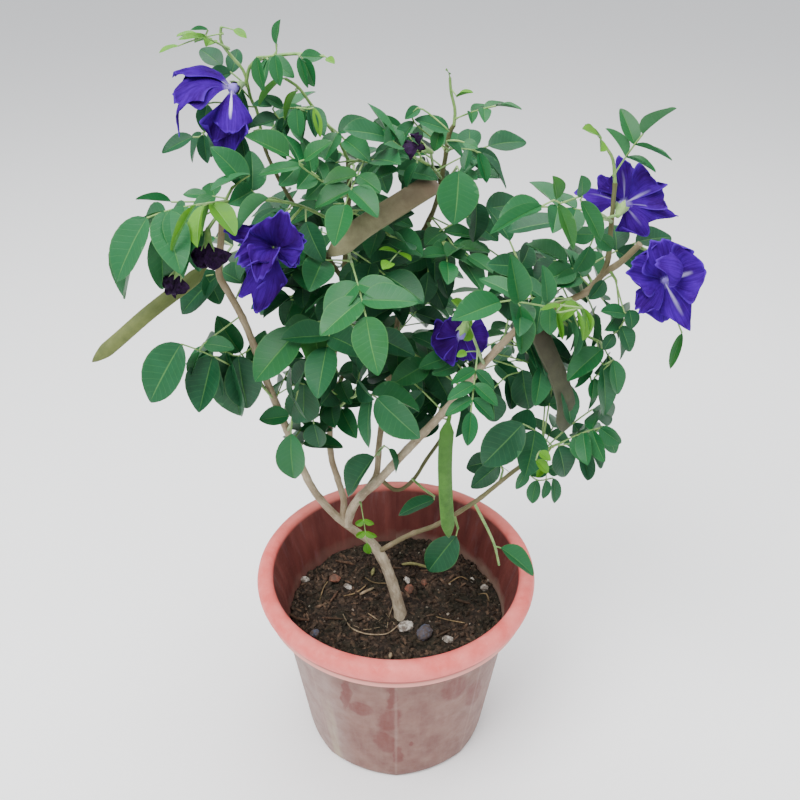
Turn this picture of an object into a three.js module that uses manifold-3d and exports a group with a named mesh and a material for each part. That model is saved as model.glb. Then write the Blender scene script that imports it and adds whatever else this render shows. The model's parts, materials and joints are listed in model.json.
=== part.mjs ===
// A butterfly pea with doubled violet flowers, grown in a ten inch plastic pot.
// Millimetres, Z up. The pot stands on Z = 0 with its axis on Z, and -Y is the front.
import * as THREE from 'three';
import Module from 'manifold-3d';

const wasm = await Module();
wasm.setup();

// The pot: a ten inch nursery pot, round at its rim and eight-sided below.
const potHeight = 196;
const rimRadius = 130;
const rimWidth = 15;
const neckRadius = 112;
const neckHeight = 167;
const footRadius = 90;
const wall = 3.4;
const flatDepth = 0.12;
const sides = 8;
const perSide = 3;
const footArch = 1.6;
const restRadius = 72;
const drainRadius = 6;
const drainRing = 48;
const drains = 5;

// The soil and what lies on it.
const soilTop = 134;
const soilRelief = 3.2;
const gap = 0.3;

// Foliage.
const bladeThickness = 0.9;
const petalThickness = 0.9;
const stalkRadius = 0.9;
const clearance = 1.9;
const sampleStep = 1.6;

// Places on the plant are named as the photograph shows them: the column and the row of its
// 800 by 800 pixels, and how far behind the pot's axis they lie, in millimetres.
const focal = 900;
const middleColumn = 396;
const middleRow = 400;
const eye = new THREE.Vector3(0, -635.1, 775.9);
const dip = THREE.MathUtils.degToRad(32.2);
const ahead = new THREE.Vector3(0, Math.cos(dip), -Math.sin(dip));
const above = new THREE.Vector3(0, Math.sin(dip), Math.cos(dip));
const right = new THREE.Vector3(1, 0, 0);
const up = new THREE.Vector3(0, 0, 1);

function seen([column, row, depth]) {
  const ray = ahead.clone()
    .addScaledVector(right, (column - middleColumn) / focal)
    .addScaledVector(above, (middleRow - row) / focal);
  return eye.clone().addScaledVector(ray, (depth - eye.y) / ray.y);
}

// A direction as the photograph shows it: to its right, to its top and towards the viewer.
function facing([across, rise, near]) {
  return right.clone().multiplyScalar(across)
    .addScaledVector(above, rise)
    .addScaledVector(ahead, -near)
    .normalize();
}

// Woody branches: the radius at the foot and at the top, then the route.
const wood = {
  trunk: [5.7, 4.9, [
    [402, 640, -12], [401, 617, -10], [392, 582, -7], [381, 556, -1], [371, 542, 6],
  ]],
  left: [3.7, 2.3, [
    [371, 542, 6], [342, 521, 4], [322, 501, -2], [307, 478, -8], [285, 425, -20],
    [268, 384, -30], [251, 338, -40], [240, 313, -44], [226, 288, -48], [219, 273, -50],
    [221, 238, -52], [222, 207, -54],
  ]],
  middle: [3.1, 1.6, [
    [342, 521, 4], [344, 501, 8], [338, 480, 12], [331, 455, 14], [330, 420, 18],
    [332, 380, 20], [337, 330, 22], [343, 280, 20], [347, 230, 15], [349, 190, 10],
    [348, 160, 5],
  ]],
  right: [4.2, 2.2, [
    [347, 524, 5], [352, 509, 2], [362, 495, -2], [379, 480, -10], [405, 452, -20],
    [451, 404, -35], [480, 368, -42], [512, 334, -50], [535, 314, -52], [583, 294, -50],
    [603, 274, -48], [621, 262, -52], [640, 244, -58],
  ]],
  rightTop: [2.0, 1.5, [
    [603, 273, -48], [608, 259, -47], [612, 216, -45], [615, 183, -42],
  ]],
  centre: [3.0, 1.6, [
    [362, 495, -2], [376, 475, 12], [379, 445, 20], [385, 400, 30], [395, 340, 40],
    [405, 270, 40], [415, 245, 36], [426, 226, 30], [436, 203, 25], [444, 165, 20],
    [449, 135, 15], [454, 125, 12],
  ]],
  lowRight: [2.4, 1.7, [
    [378, 552, 0], [409, 535, -5], [436, 525, -15], [473, 503, -30], [494, 487, -38],
    [514, 471, -45], [541, 453, -52],
  ]],
  thinRight: [2.0, 1.3, [
    [376, 475, 12], [396, 490, 14], [413, 480, 16], [426, 460, 20], [441, 438, 25],
    [452, 410, 28], [465, 380, 30],
  ]],
  topLeft: [1.9, 1.3, [
    [343, 280, 20], [310, 230, 30], [285, 190, 25], [270, 161, 15], [263, 142, 8],
  ]],
  back: [2.2, 1.4, [
    [332, 400, 19], [345, 372, 48], [362, 352, 74], [384, 322, 92],
  ]],
};

// Pods hang from the wood: half of the widest breadth, then the route from stalk to beak.
const pods = {
  pod_olive: [5.4, [
    [219, 258, -51], [206, 266, -52], [190, 281, -54], [150, 312, -61], [118, 340, -67],
    [92, 362, -72],
  ]],
  pod_tan: [8.2, [
    [440, 186, 22], [434, 184, 4], [424, 189, -12], [395, 207, -28], [362, 228, -42],
    [340, 246, -50], [327, 256, -54],
  ]],
  pod_brown: [7.2, [
    [534, 314, -52], [537, 325, -62], [545, 346, -66], [557, 374, -68], [566, 404, -68],
    [563, 432, -64],
  ]],
  pod_green: [5.9, [
    [452, 404, -35], [450, 414, -42], [447, 430, -46], [445, 462, -48], [446, 500, -48],
    [449, 538, -47],
  ]],
};

// Blooms: the spray and the place along it that carry the stalk, the calyx, the throat,
// then the petals. A petal has its tip, its width, the side that its face looks to, and how
// far it bows, cups and ruffles as parts of its length and width.
const blooms = {
  bloom_top_left: {
    on: ['top_left_shoot', 0.53], calyx: [242, 84, -12], throat: [232, 89, -26],
    petals: [
      [[180, 134, -40], 44, [-0.5, 0.6, 0.7], 0.34, 0.10, 1.5],
      [[175, 78, -12], 34, [-0.2, 0.9, 0.4], 0.16, -0.10, 1.5],
      [[212, 136, -30], 28, [-0.5, 0.1, 0.8], 0.05, -0.20, 1.5],
      [[229, 132, -46], 26, [0.0, 0.2, 1.0], 0.08, 0.24, 1.5],
      [[246, 133, -26], 28, [0.7, 0.1, 0.7], 0.05, -0.20, 1.5],
      [[223, 157, -20], 36, [0.1, 0.1, 1.0], 0.10, -0.14, 2.5],
    ],
  },
  bloom_left: {
    on: ['left_runner', 0.5], calyx: [276, 236, -66], throat: [276, 250, -76],
    petals: [
      [[286, 211, -90], 44, [0.2, 0.3, 1.0], 0.10, 0.12, 3.0],
      [[223, 230, -88], 30, [-0.2, 0.4, 0.9], 0.12, -0.14, 2.5],
      [[306, 236, -84], 34, [0.6, 0.2, 0.7], 0.14, 0.20, 2.0],
      [[235, 272, -100], 34, [-0.2, 0.0, 1.0], 0.12, 0.12, 2.5],
      [[240, 299, -92], 22, [-0.3, 0.0, 1.0], 0.06, -0.20, 1.5],
      [[262, 315, -88], 40, [0.3, -0.1, 0.9], 0.10, -0.18, 2.0],
    ],
  },
  bloom_right_high: {
    on: ['right_mid_shoot', 0.5], calyx: [618, 215, -52], throat: [623, 204, -36],
    petals: [
      [[617, 156, -30], 34, [0.2, 0.1, 1.0], 0.08, -0.10, 2.0],
      [[573, 194, -30], 24, [-0.2, 0.5, 0.8], 0.06, -0.16, 2.0],
      [[660, 177, -26], 44, [0.1, 0.2, 1.0], -0.06, 0.12, 2.5],
      [[677, 216, -34], 32, [0.3, 0.2, 0.9], 0.06, -0.14, 2.5],
      [[651, 236, -44], 36, [0.1, -0.2, 1.0], 0.08, -0.10, 2.5],
      [[640, 172, 2], 44, [0.0, 0.2, 1.0], 0.06, 0.10, 2.5],
    ],
  },
  bloom_right_low: {
    on: ['end_bloom', 1], calyx: [655, 260, -50], throat: [661, 281, -68],
    petals: [
      [[632, 262, -70], 50, [-0.2, 0.2, 1.0], 0.08, -0.12, 3.0],
      [[672, 238, -70], 46, [0.1, 0.4, 0.9], 0.10, 0.10, 3.0],
      [[706, 272, -76], 46, [0.3, 0.1, 1.0], 0.04, 0.14, 2.5],
      [[686, 329, -84], 46, [0.1, -0.2, 1.0], 0.06, 0.12, 3.0],
      [[644, 317, -82], 34, [-0.3, -0.1, 0.9], 0.12, -0.20, 2.5],
      [[650, 256, -90], 30, [-0.1, 0.1, 1.0], 0.20, -0.20, 1.5],
    ],
  },
  bloom_centre: {
    on: ['fern_shoot', 0.4], calyx: [467, 320, -48], throat: [461, 336, -42],
    petals: [
      [[432, 347, -40], 38, [-0.2, 0.0, 1.0], 0.08, -0.12, 2.0],
      [[447, 319, -34], 34, [-0.1, 0.3, 0.9], 0.06, 0.12, 2.0],
      [[489, 339, -46], 32, [0.2, 0.1, 1.0], 0.08, -0.12, 2.0],
      [[467, 360, -44], 34, [0.0, -0.1, 1.0], 0.08, 0.10, 2.0],
    ],
  },
  withered_left: {
    on: ['far_left', 0.5], calyx: [208, 230, -84], throat: [208, 243, -90],
    petals: [
      [[199, 268, -96], 20, [0.2, 0.1, 1.0], 0.06, -0.36, 0.8],
      [[216, 270, -94], 20, [0.5, 0.1, 0.8], 0.08, 0.36, 0.8],
    ],
  },
  withered_far: {
    on: ['far_left', 0.4], calyx: [184, 260, -82], throat: [178, 273, -85],
    petals: [
      [[166, 294, -87], 15, [0.2, 0.1, 1.0], 0.08, -0.36, 0.8],
      [[175, 298, -86], 14, [0.8, 0.1, 0.6], 0.06, 0.36, 0.8],
    ],
  },
  withered_crown: {
    on: ['crown_left', 0.4], calyx: [431, 152, -22], throat: [420, 147, -30],
    petals: [
      [[403, 147, -33], 15, [0.2, 0.3, 1.0], 0.08, -0.34, 0.8],
      [[410, 134, -30], 14, [0.3, 0.9, 0.4], 0.06, 0.34, 0.8],
    ],
  },
};

// Leafy shoots, the front ones first: the route from the wood, its radius, then the leaves.
// A leaf has its place along the shoot, the end of its stalk, its pairs of leaflets, their
// length, how they hang, their age, and where the end leaflet points if not straight on.
const sprays = {
  front_left: [[[346, 238, 16], [350, 257, -24], [352, 264, -66]], [
    [1, [366, 317, -108], 2, 37, 'level', 'light'],
    [0.72, [305, 262, -58], 1, 34, 'arching', 'mature'],
    [0.26, [385, 275, -30], 1, 34, 'arching', 'dark'],
  ]],
  fern_shoot: [[[483, 363, -43], [480, 356, -66], [478, 350, -86]], [
    [1, [471, 412, -114], 3, 22, 'level', 'mature'],
    [0.86, [466, 352, -92], 0, 9, 'level', 'young'],
    [0.54, [463, 312, -88], 1, 16, 'level', 'young'],
  ]],
  long_leaf: [[[567, 301, -51], [571, 299, -66]], [
    [1, [500, 302, -92], 2, 33, 'level', 'mature'],
    [0.46, [582, 308, -86], 1, 21, 'hanging', 'young'],
  ]],
  big_leaf: [[[440, 190, 23], [452, 174, -8], [457, 167, -24]], [
    [1, [459, 171, -36], 0, 44, 'hanging', 'mature', [455, 225, -48]],
    [0.67, [476, 203, -14], 0, 30, 'hanging', 'dark', [478, 244, -14]],
    [0.4, [470, 175, -4], 1, 22, 'arching', 'mature'],
  ]],
  left_inner: [[[337, 318, 21], [334, 318, -30], [333, 320, -52]], [
    [0.84, [299, 330, -62], 1, 40, 'hanging', 'light', [258, 382, -78]],
    [1, [327, 347, -70], 1, 36, 'arching', 'dark'],
    [0.42, [372, 335, -24], 1, 34, 'arching', 'dark'],
  ]],
  left_runner: [[
    [347, 230, 15], [315, 212, -25], [285, 202, -52], [245, 200, -66], [212, 204, -76],
  ], [
    [0.64, [268, 198, -72], 0, 34, 'hanging', 'light', [253, 240, -82]],
    [1, [147, 218, -98], 2, 42, 'hanging', 'mature'],
    [0.76, [246, 186, -62], 1, 30, 'level', 'mature'],
    [0.94, [203, 206, -92], 1, 26, 'hanging', 'young'],
    [0.47, [306, 222, -52], 0, 40, 'hanging', 'dark', [322, 262, -66]],
  ]],
  upper_left: [[[349, 192, 10], [345, 196, -20], [341, 197, -34]], [
    [1, [289, 156, -50], 3, 26, 'level', 'light', [249, 132, -58]],
    [0.54, [373, 180, -36], 1, 24, 'arching', 'mature'],
  ]],
  top_mid_left: [[[348, 165, 6], [358, 160, -12], [366, 158, -26]], [
    [1, [345, 205, -66], 2, 27, 'level', 'light'],
    [0.7, [374, 160, -34], 1, 30, 'arching', 'mature'],
    [0.45, [325, 165, -10], 1, 28, 'level', 'mature'],
  ]],
  right_up_shoot: [[[615, 183, -42], [613, 160, -40], [606, 147, -42]], [
    [0.2, [643, 134, -54], 2, 26, 'level', 'light'],
    [1, [598, 136, -48], 1, 15, 'level', 'young'],
  ]],
  right_mid_shoot: [[[611, 222, -45], [604, 216, -62], [600, 214, -70]], [
    [1, [541, 207, -84], 2, 26, 'level', 'mature'],
    [0.3, [562, 222, -44], 0, 36, 'level', 'dark', [506, 225, -46]],
    [0.7, [590, 246, -64], 1, 20, 'arching', 'mature'],
  ]],
  right_low: [[[546, 309, -51], [575, 330, -42], [600, 342, -46]], [
    [1, [602, 349, -62], 0, 34, 'level', 'mature', [567, 377, -78]],
    [1, [612, 364, -52], 1, 28, 'hanging', 'dark'],
    [0.32, [572, 322, -70], 1, 24, 'hanging', 'mature'],
  ]],
  low_shoot: [[[541, 453, -52], [551, 447, -56], [561, 443, -59]], [
    [1, [600, 428, -72], 3, 26, 'hanging', 'mature', [621, 446, -76]],
    [0.6, [523, 424, -76], 1, 36, 'hanging', 'dark', [480, 466, -84]],
    [0.35, [546, 480, -64], 1, 15, 'arching', 'mature'],
    [0.5, [543, 464, -68], 0, 11, 'level', 'young'],
  ]],
  far_left: [[[222, 214, -53], [226, 200, -64], [232, 188, -70]], [
    [0.59, [207, 196, -60], 1, 20, 'level', 'light', [183, 192, -62]],
    [1, [250, 175, -66], 0, 30, 'level', 'mature', [204, 187, -72]],
    [0.3, [196, 222, -84], 1, 34, 'hanging', 'mature'],
  ]],
  left_low: [[[274, 400, -26], [262, 386, -40]], [
    [1, [181, 344, -72], 1, 42, 'hanging', 'dark', [144, 402, -88]],
    [0.53, [240, 352, -30], 1, 30, 'arching', 'mature'],
  ]],
  left_hang: [[[287, 431, -19], [291, 424, -34], [292, 420, -44]], [
    [1, [291, 434, -54], 0, 38, 'hanging', 'mature', [293, 483, -60]],
    [0.62, [298, 390, -46], 1, 30, 'arching', 'dark'],
  ]],
  middle_front: [[[331, 418, 18], [345, 402, -20], [362, 393, -45]], [
    [1, [377, 398, -68], 1, 40, 'hanging', 'mature'],
    [0.61, [322, 385, -32], 1, 32, 'arching', 'dark'],
    [0.85, [360, 372, -48], 1, 30, 'arching', 'dark'],
  ]],
  low_centre: [[[378, 455, 18], [380, 450, 0], [384, 446, -12]], [
    [0.78, [374, 457, -18], 0, 40, 'level', 'dark', [342, 495, -24]],
    [1, [389, 449, -24], 0, 28, 'level', 'mature', [405, 470, -30]],
  ]],
  basal_shoot: [[[358, 499, 0], [361, 504, -8]], [
    [1, [367, 543, -16], 2, 12, 'level', 'young'],
  ]],
  top_left_shoot: [[
    [263, 142, 8], [257, 111, 0], [251, 99, -5], [244, 72, -10], [232, 57, -12],
    [221, 42, -14], [221, 27, -16],
  ], [
    [0.83, [200, 36, -22], 1, 14, 'level', 'young'],
    [0.95, [178, 46, -26], 0, 12, 'arching', 'young'],
    [1, [234, 30, -20], 0, 9, 'level', 'young'],
    [0.2, [202, 133, 14], 1, 24, 'hanging', 'dark'],
    [0.06, [284, 126, -6], 1, 25, 'arching', 'dark'],
    [0.5, [222, 66, 4], 1, 20, 'arching', 'dark'],
  ]],
  top_left_side: [[[247, 82, -8], [254, 62, -12], [290, 54, -14], [324, 56, -18]], [
    [0.5, [277, 44, -14], 0, 16, 'level', 'light', [277, 22, -12]],
    [0.4, [268, 60, -20], 1, 21, 'hanging', 'light'],
    [0.72, [303, 59, -20], 1, 17, 'hanging', 'light'],
    [1, [327, 58, -21], 0, 8, 'arching', 'young'],
  ]],
  arch_shoot: [[
    [348, 160, 5], [336, 136, 0], [313, 107, -8], [299, 88, -14], [286, 79, -18],
  ], [
    [1, [282, 79, -24], 0, 24, 'hanging', 'young', [255, 102, -26]],
    [0.86, [297, 91, -22], 0, 21, 'hanging', 'young', [281, 118, -26]],
    [0.63, [304, 108, -20], 1, 24, 'hanging', 'mature'],
    [0.42, [345, 140, -18], 1, 24, 'arching', 'mature'],
  ]],
  crown: [[
    [454, 125, 12], [455, 110, 11], [451, 92, 10], [450, 78, 9],
  ], [
    [0.12, [496, 106, -6], 2, 18, 'level', 'light'],
    [0.75, [457, 97, 2], 0, 8, 'level', 'young', [472, 90, -4]],
    [1, [449, 74, 6], 0, 7, 'level', 'young'],
  ]],
  crown_side: [[[446, 152, 17], [452, 148, 4]], [
    [0.6, [481, 153, -16], 1, 16, 'hanging', 'dark', [511, 184, -22]],
  ]],
  crown_left: [[[440, 178, 22], [430, 166, 0], [412, 156, -16]], [
    [1, [385, 137, -32], 2, 31, 'level', 'mature'],
    [0.71, [402, 126, 0], 1, 26, 'hanging', 'mature'],
    [0.88, [417, 163, -34], 0, 26, 'hanging', 'mature', [404, 186, -40]],
  ]],
  centre_mid: [[[411, 255, 38], [412, 248, 5], [408, 244, -20]], [
    [1, [390, 236, -38], 1, 31, 'arching', 'dark'],
    [0.9, [390, 262, -64], 1, 14, 'arching', 'young'],
  ]],
  centre_right: [[[428, 222, 29], [436, 236, 5], [445, 245, -8]], [
    [1, [447, 262, -30], 1, 23, 'arching', 'light'],
    [0.78, [468, 256, -24], 1, 24, 'arching', 'light'],
    [0.34, [428, 272, 10], 1, 26, 'arching', 'dark'],
  ]],
  right_inner: [[[592, 284, -49], [585, 270, -30], [580, 262, -20]], [
    [1, [540, 262, -18], 1, 30, 'arching', 'dark'],
    [0.45, [556, 292, -14], 1, 30, 'arching', 'dark'],
  ]],
  right_hang: [[[611, 271, -49], [616, 280, -52]], [
    [1, [621, 330, -58], 1, 22, 'arching', 'dark'],
    [0.49, [604, 280, -58], 0, 20, 'hanging', 'dark', [590, 300, -62]],
  ]],
  end_bloom: [[[638, 246, -57], [650, 252, -56]], []],
  low_back: [[[500, 482, -40], [503, 470, -20]], [
    [1, [497, 462, -16], 1, 31, 'hanging', 'dark', [462, 474, -16]],
  ]],
  rim_leaf_left: [[[414, 481, 16], [425, 490, 0], [434, 496, -12]], [
    [1, [434, 500, -18], 0, 33, 'level', 'dark', [397, 511, -22]],
  ]],
  rim_leaf_middle: [[[455, 515, -22], [458, 528, -32]], [
    [1, [456, 536, -38], 0, 38, 'level', 'dark', [427, 574, -46]],
  ]],
  rim_leaf_right: [[[474, 503, -31], [488, 530, -38], [495, 547, -42], [499, 565, -44]], [
    [0.69, [501, 548, -46], 0, 37, 'level', 'mature', [537, 572, -58]],
  ]],
  back_left: [[[219, 273, -50], [224, 258, -10], [232, 246, 20]], [
    [1, [206, 236, 52], 1, 34, 'hanging', 'mature'],
    [0.7, [262, 250, 44], 1, 32, 'level', 'dark'],
  ]],
  back_middle: [[[343, 280, 20], [346, 262, 60], [350, 250, 86]], [
    [1, [322, 232, 116], 1, 34, 'hanging', 'mature'],
    [0.7, [382, 240, 100], 1, 34, 'level', 'dark'],
    [0.5, [318, 262, 84], 1, 32, 'level', 'mature'],
    [0.3, [366, 216, 62], 1, 30, 'arching', 'mature'],
  ]],
  back_top: [[[349, 190, 10], [352, 176, 40], [354, 166, 56]], [
    [1, [336, 150, 84], 1, 32, 'hanging', 'mature'],
    [0.7, [384, 158, 70], 1, 30, 'level', 'light'],
  ]],
  back_centre: [[[395, 340, 40], [402, 322, 80], [408, 312, 104]], [
    [1, [432, 296, 126], 1, 34, 'hanging', 'mature'],
    [0.7, [380, 292, 122], 1, 34, 'level', 'dark'],
    [0.45, [440, 322, 86], 1, 32, 'level', 'mature'],
  ]],
  back_low: [[[384, 322, 92], [390, 306, 104]], [
    [0.4, [348, 318, 120], 1, 34, 'hanging', 'dark'],
    [1, [410, 280, 142], 1, 34, 'hanging', 'mature'],
  ]],
  back_right: [[[583, 294, -50], [578, 276, -4], [572, 266, 24]], [
    [1, [596, 248, 54], 1, 32, 'hanging', 'mature'],
    [0.75, [540, 256, 48], 1, 32, 'level', 'dark'],
  ]],
  back_thin: [[[465, 380, 30], [470, 364, 54], [474, 356, 66]], [
    [1, [500, 340, 88], 1, 32, 'hanging', 'mature'],
    [0.6, [450, 350, 82], 1, 30, 'level', 'dark'],
  ]],
};

// Leaves deep in the crown: where each stands on its shoot. It takes the first of a few ways,
// a golden angle apart, that doesn't lead to the front and has its stalk and end leaflet clear.
const innerLeaves = [
  ['back_thin', 0.2], ['back_thin', 0.85], ['middle_front', 0.4], ['back_centre', 0.2],
  ['back_centre', 0.85], ['right_inner', 0.7], ['centre_right', 0.55], ['centre_mid', 0.5],
  ['crown_left', 0.3], ['back_middle', 0.15], ['upper_left', 0.8],
];
const inner = { ways: 32, reach: 44, length: 30, rise: 0.35, golden: 2.4, front: -0.2 };

const colours = {
  pot: 0xb9766c, soil: 0x3a2a20, bark: 0x8d7355, petal: 0x3d12a8, withered: 0x1c1226,
  young: 0x7fa03f, light: 0x4f8c4a, mature: 0x3f7a45, dark: 0x2f6238,
  podGreen: 0x6f9a4b, podOlive: 0x6d7440, podTan: 0x8f7d5e,
  paleStone: 0xcfcac0, blueStone: 0x5b6475, brick: 0x9a5a47,
};

// Closed meshes as solids. Every list of faces is turned outwards here.
function solid(points, faces) {
  const make = (list) => new wasm.Manifold(new wasm.Mesh({
    numProp: 3,
    vertProperties: new Float32Array(points.flatMap((point) => point.toArray())),
    triVerts: new Uint32Array(list.flat()),
  }));
  const made = make(faces);
  return made.volume() > 0 ? made : make(faces.map(([a, b, c]) => [a, c, b]));
}

function fuse(solids) {
  return solids.reduce((whole, next) => whole.add(next));
}

function geometryOf(whole) {
  const mesh = whole.getMesh();
  const geometry = new THREE.BufferGeometry();
  geometry.setAttribute('position', new THREE.BufferAttribute(mesh.vertProperties, 3));
  geometry.setIndex(new THREE.BufferAttribute(mesh.triVerts, 1));
  geometry.computeVertexNormals();
  return geometry;
}

// Rings of equal counts joined one to the next, and fans over the first and the last.
function skin(rings) {
  const count = rings[0].length;
  const faces = [];
  for (let row = 0; row + 1 < rings.length; row += 1) {
    for (let k = 0; k < count; k += 1) {
      const a = row * count + k;
      const b = row * count + (k + 1) % count;
      faces.push([a, b, b + count], [a, b + count, a + count]);
    }
  }
  const last = (rings.length - 1) * count;
  for (let k = 1; k + 1 < count; k += 1) {
    faces.push([0, k + 1, k], [last, last + k, last + k + 1]);
  }
  return solid(rings.flat(), faces);
}

// A stem or a pod along a route. Its radius is a function of the way along it, and a pod is
// flattened: its breadth lies square to the side that its face looks to.
function ringAt(curve, along, radius, corners, flat, face, frame) {
  const middle = curve.getPointAt(along);
  const tangent = curve.getTangentAt(along);
  const first = face ? face.clone().cross(tangent).normalize() : frame[0];
  const second = face ? tangent.clone().cross(first).normalize() : frame[1];
  return Array.from({ length: corners }, (_, k) => {
    const turn = 2 * Math.PI * k / corners;
    return middle.clone()
      .addScaledVector(first, radius * Math.cos(turn))
      .addScaledVector(second, radius * flat * Math.sin(turn));
  });
}

function stem(points, radius, corners, step, flat = 1, face = null) {
  const curve = new THREE.CatmullRomCurve3(points, false, 'catmullrom', 0.5);
  const count = Math.max(1, Math.round(curve.getLength() / step));
  const frames = curve.computeFrenetFrames(count, false);
  const rings = [];
  for (let i = 0; i <= count; i += 1) {
    const frame = [frames.normals[i], frames.binormals[i]];
    rings.push(ringAt(curve, i / count, radius(i / count), corners, flat, face, frame));
  }
  return skin(rings);
}

// A rounded lump of twenty facets.
function lump(middle, halves, turn) {
  const shape = new THREE.IcosahedronGeometry(1, 0);
  const position = shape.getAttribute('position');
  const places = new Map();
  const points = [];
  const faces = [];
  for (let k = 0; k < position.count; k += 1) {
    const point = new THREE.Vector3().fromBufferAttribute(position, k);
    const key = point.toArray().map((value) => value.toFixed(3)).join();
    if (!places.has(key)) {
      places.set(key, points.length);
      points.push(point.multiply(new THREE.Vector3(...halves)).applyAxisAngle(up, turn).add(middle));
    }
    if (k % 3 === 0) faces.push([]);
    faces.at(-1).push(places.get(key));
  }
  return solid(points, faces);
}

const taper = (foot, top) => (along) => foot + (top - foot) * along;

// Twigs are straight from ring to ring, so what grows from one starts on those chords.
const woodStep = 24;
const twigStep = 22;
const twigSides = 3;
const twigRadius = (along) => (along ? 1.3 - 0.3 * along : 0.6);

function lineOf(points, step) {
  const curve = new THREE.CatmullRomCurve3(points, false, 'catmullrom', 0.5);
  const count = Math.max(1, Math.round(curve.getLength() / step));
  return Array.from({ length: count + 1 }, (_, k) => curve.getPointAt(k / count));
}

// A shoot or a pod starts at the point of its branch that is nearest to where it was seen.
function rooted(points, lines) {
  const near = lines.flatMap((line) => line.slice(1).map((end, k) => (
    new THREE.Line3(line[k], end).closestPointToPoint(points[0], true, new THREE.Vector3())
  )));
  near.sort((a, b) => a.distanceTo(points[0]) - b.distanceTo(points[0]));
  return [near[0], ...points.slice(1)];
}

function placeOn(line, along) {
  const place = along * (line.length - 1);
  const k = Math.min(Math.floor(place), line.length - 2);
  return line[k].clone().lerp(line[k + 1], place - k);
}

// Points spread over a surface's triangles, by which one piece keeps clear of another.
const cells = new Map();

function spread(corners, step) {
  const [a, b, c] = corners;
  const rows = Math.max(1, Math.ceil(
    Math.max(a.distanceTo(b), b.distanceTo(c), c.distanceTo(a)) / step,
  ));
  const points = [];
  for (let i = 0; i <= rows; i += 1) {
    for (let j = 0; j <= rows - i; j += 1) {
      points.push(a.clone()
        .addScaledVector(b.clone().sub(a), i / rows)
        .addScaledVector(c.clone().sub(a), j / rows));
    }
  }
  return points;
}

const cellOf = (value) => Math.floor(value / clearance);

function occupy(owner, points) {
  for (const point of points) {
    const key = `${cellOf(point.x)},${cellOf(point.y)},${cellOf(point.z)}`;
    if (!cells.has(key)) cells.set(key, []);
    cells.get(key).push([owner, point]);
  }
}

function occupySolid(owner, whole) {
  const { vertProperties, triVerts } = whole.getMesh();
  for (let k = 0; k < triVerts.length; k += 3) {
    const corners = [0, 1, 2].map((i) => (
      new THREE.Vector3().fromArray(vertProperties, 3 * triVerts[k + i])
    ));
    occupy(owner, spread(corners, sampleStep));
  }
}

function isClear(points, mine) {
  const around = [-1, 0, 1];
  return points.every((point) => {
    const [i, j, k] = [cellOf(point.x), cellOf(point.y), cellOf(point.z)];
    return around.every((x) => around.every((y) => around.every((z) => (
      (cells.get(`${i + x},${j + y},${k + z}`) ?? []).every(([owner, place]) => (
        mine(owner, place) || place.distanceTo(point) > clearance
      ))
    ))));
  });
}

// A sheet is a mid surface: points, each with the way it looks and half of its thickness, and
// faces. It becomes a closed solid whose two faces are split alike.
function thicken({ points, looks, halves, faces }) {
  const low = points.length;
  const both = [0, 1].flatMap((under) => points.map((point, k) => (
    point.clone().addScaledVector(looks[k], (under ? -1 : 1) * halves[k])
  )));
  const closed = faces.flatMap(([a, b, c]) => [[a, b, c], [low + a, low + c, low + b]]);
  const edges = new Set();
  for (const [a, b, c] of faces) edges.add(`${a},${b}`).add(`${b},${c}`).add(`${c},${a}`);
  for (const edge of edges) {
    const [a, b] = edge.split(',').map(Number);
    if (!edges.has(`${b},${a}`)) closed.push([b, a, low + a], [b, low + a, low + b]);
  }
  return solid(both, closed);
}

// A leaflet: an oval that arches down to its tip, given by the ends of a few cross lines.
const ovalHalf = (s) => 0.5 * Math.sin(Math.PI * s ** 0.8) ** 0.75;

function bladeStations(length) {
  if (length > 36) return [0.2, 0.5, 0.8];
  return length > 21 ? [0.28, 0.7] : [0.45];
}

function bladeShape(base, along, face, length, ratio, stations = bladeStations(length)) {
  const across = along.clone().cross(face).normalize();
  const look = across.clone().cross(along).normalize();
  const place = (s, side) => base.clone()
    .addScaledVector(along, length * s)
    .addScaledVector(across, side * ovalHalf(s) * ratio * length)
    .addScaledVector(look, -0.16 * length * s * s);
  return {
    lines: stations.map((s) => [place(s, 1), place(s, -1)]),
    tip: place(1, 0),
    look,
  };
}

// A leaflet that would touch another piece is turned, lifted or made smaller until it is
// clear. One that is never clear isn't grown.
const tries = [];
for (const size of [1, 0.85, 0.7]) {
  for (const [turn, lift] of [
    [0, 0], [0, 14], [0, -14], [14, 0], [-14, 0], [14, 14], [-14, 14], [14, -14], [-14, -14],
    [0, 28], [0, -28], [28, 0], [-28, 0], [24, 24], [-24, 24], [24, -24], [-24, -24],
  ]) {
    tries.push([size, turn, lift]);
  }
}

function findBlade(leafName, base, along, face, length, ratio, stations) {
  const across = along.clone().cross(face).normalize();
  for (const [size, turn, lift] of tries) {
    const heading = along.clone()
      .applyAxisAngle(face, THREE.MathUtils.degToRad(turn))
      .applyAxisAngle(across, THREE.MathUtils.degToRad(lift));
    const blade = bladeShape(base, heading, face, length * size, ratio, stations);
    const lines = [[base, base], ...blade.lines, [blade.tip, blade.tip]];
    const points = lines.slice(1).flatMap(([one, other], k) => [
      ...spread([lines[k][0], one, other], sampleStep),
      ...spread([lines[k][0], other, lines[k][1]], sampleStep),
    ]);
    const mine = (owner, place) => owner === leafName && place.distanceTo(base) < 8;
    if (isClear(points, mine)) return { ...blade, points };
  }
  return null;
}

function clearBlade(leafName, ...blade) {
  const found = findBlade(leafName, ...blade);
  if (found) occupy(leafName, found.points);
  return found;
}

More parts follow.
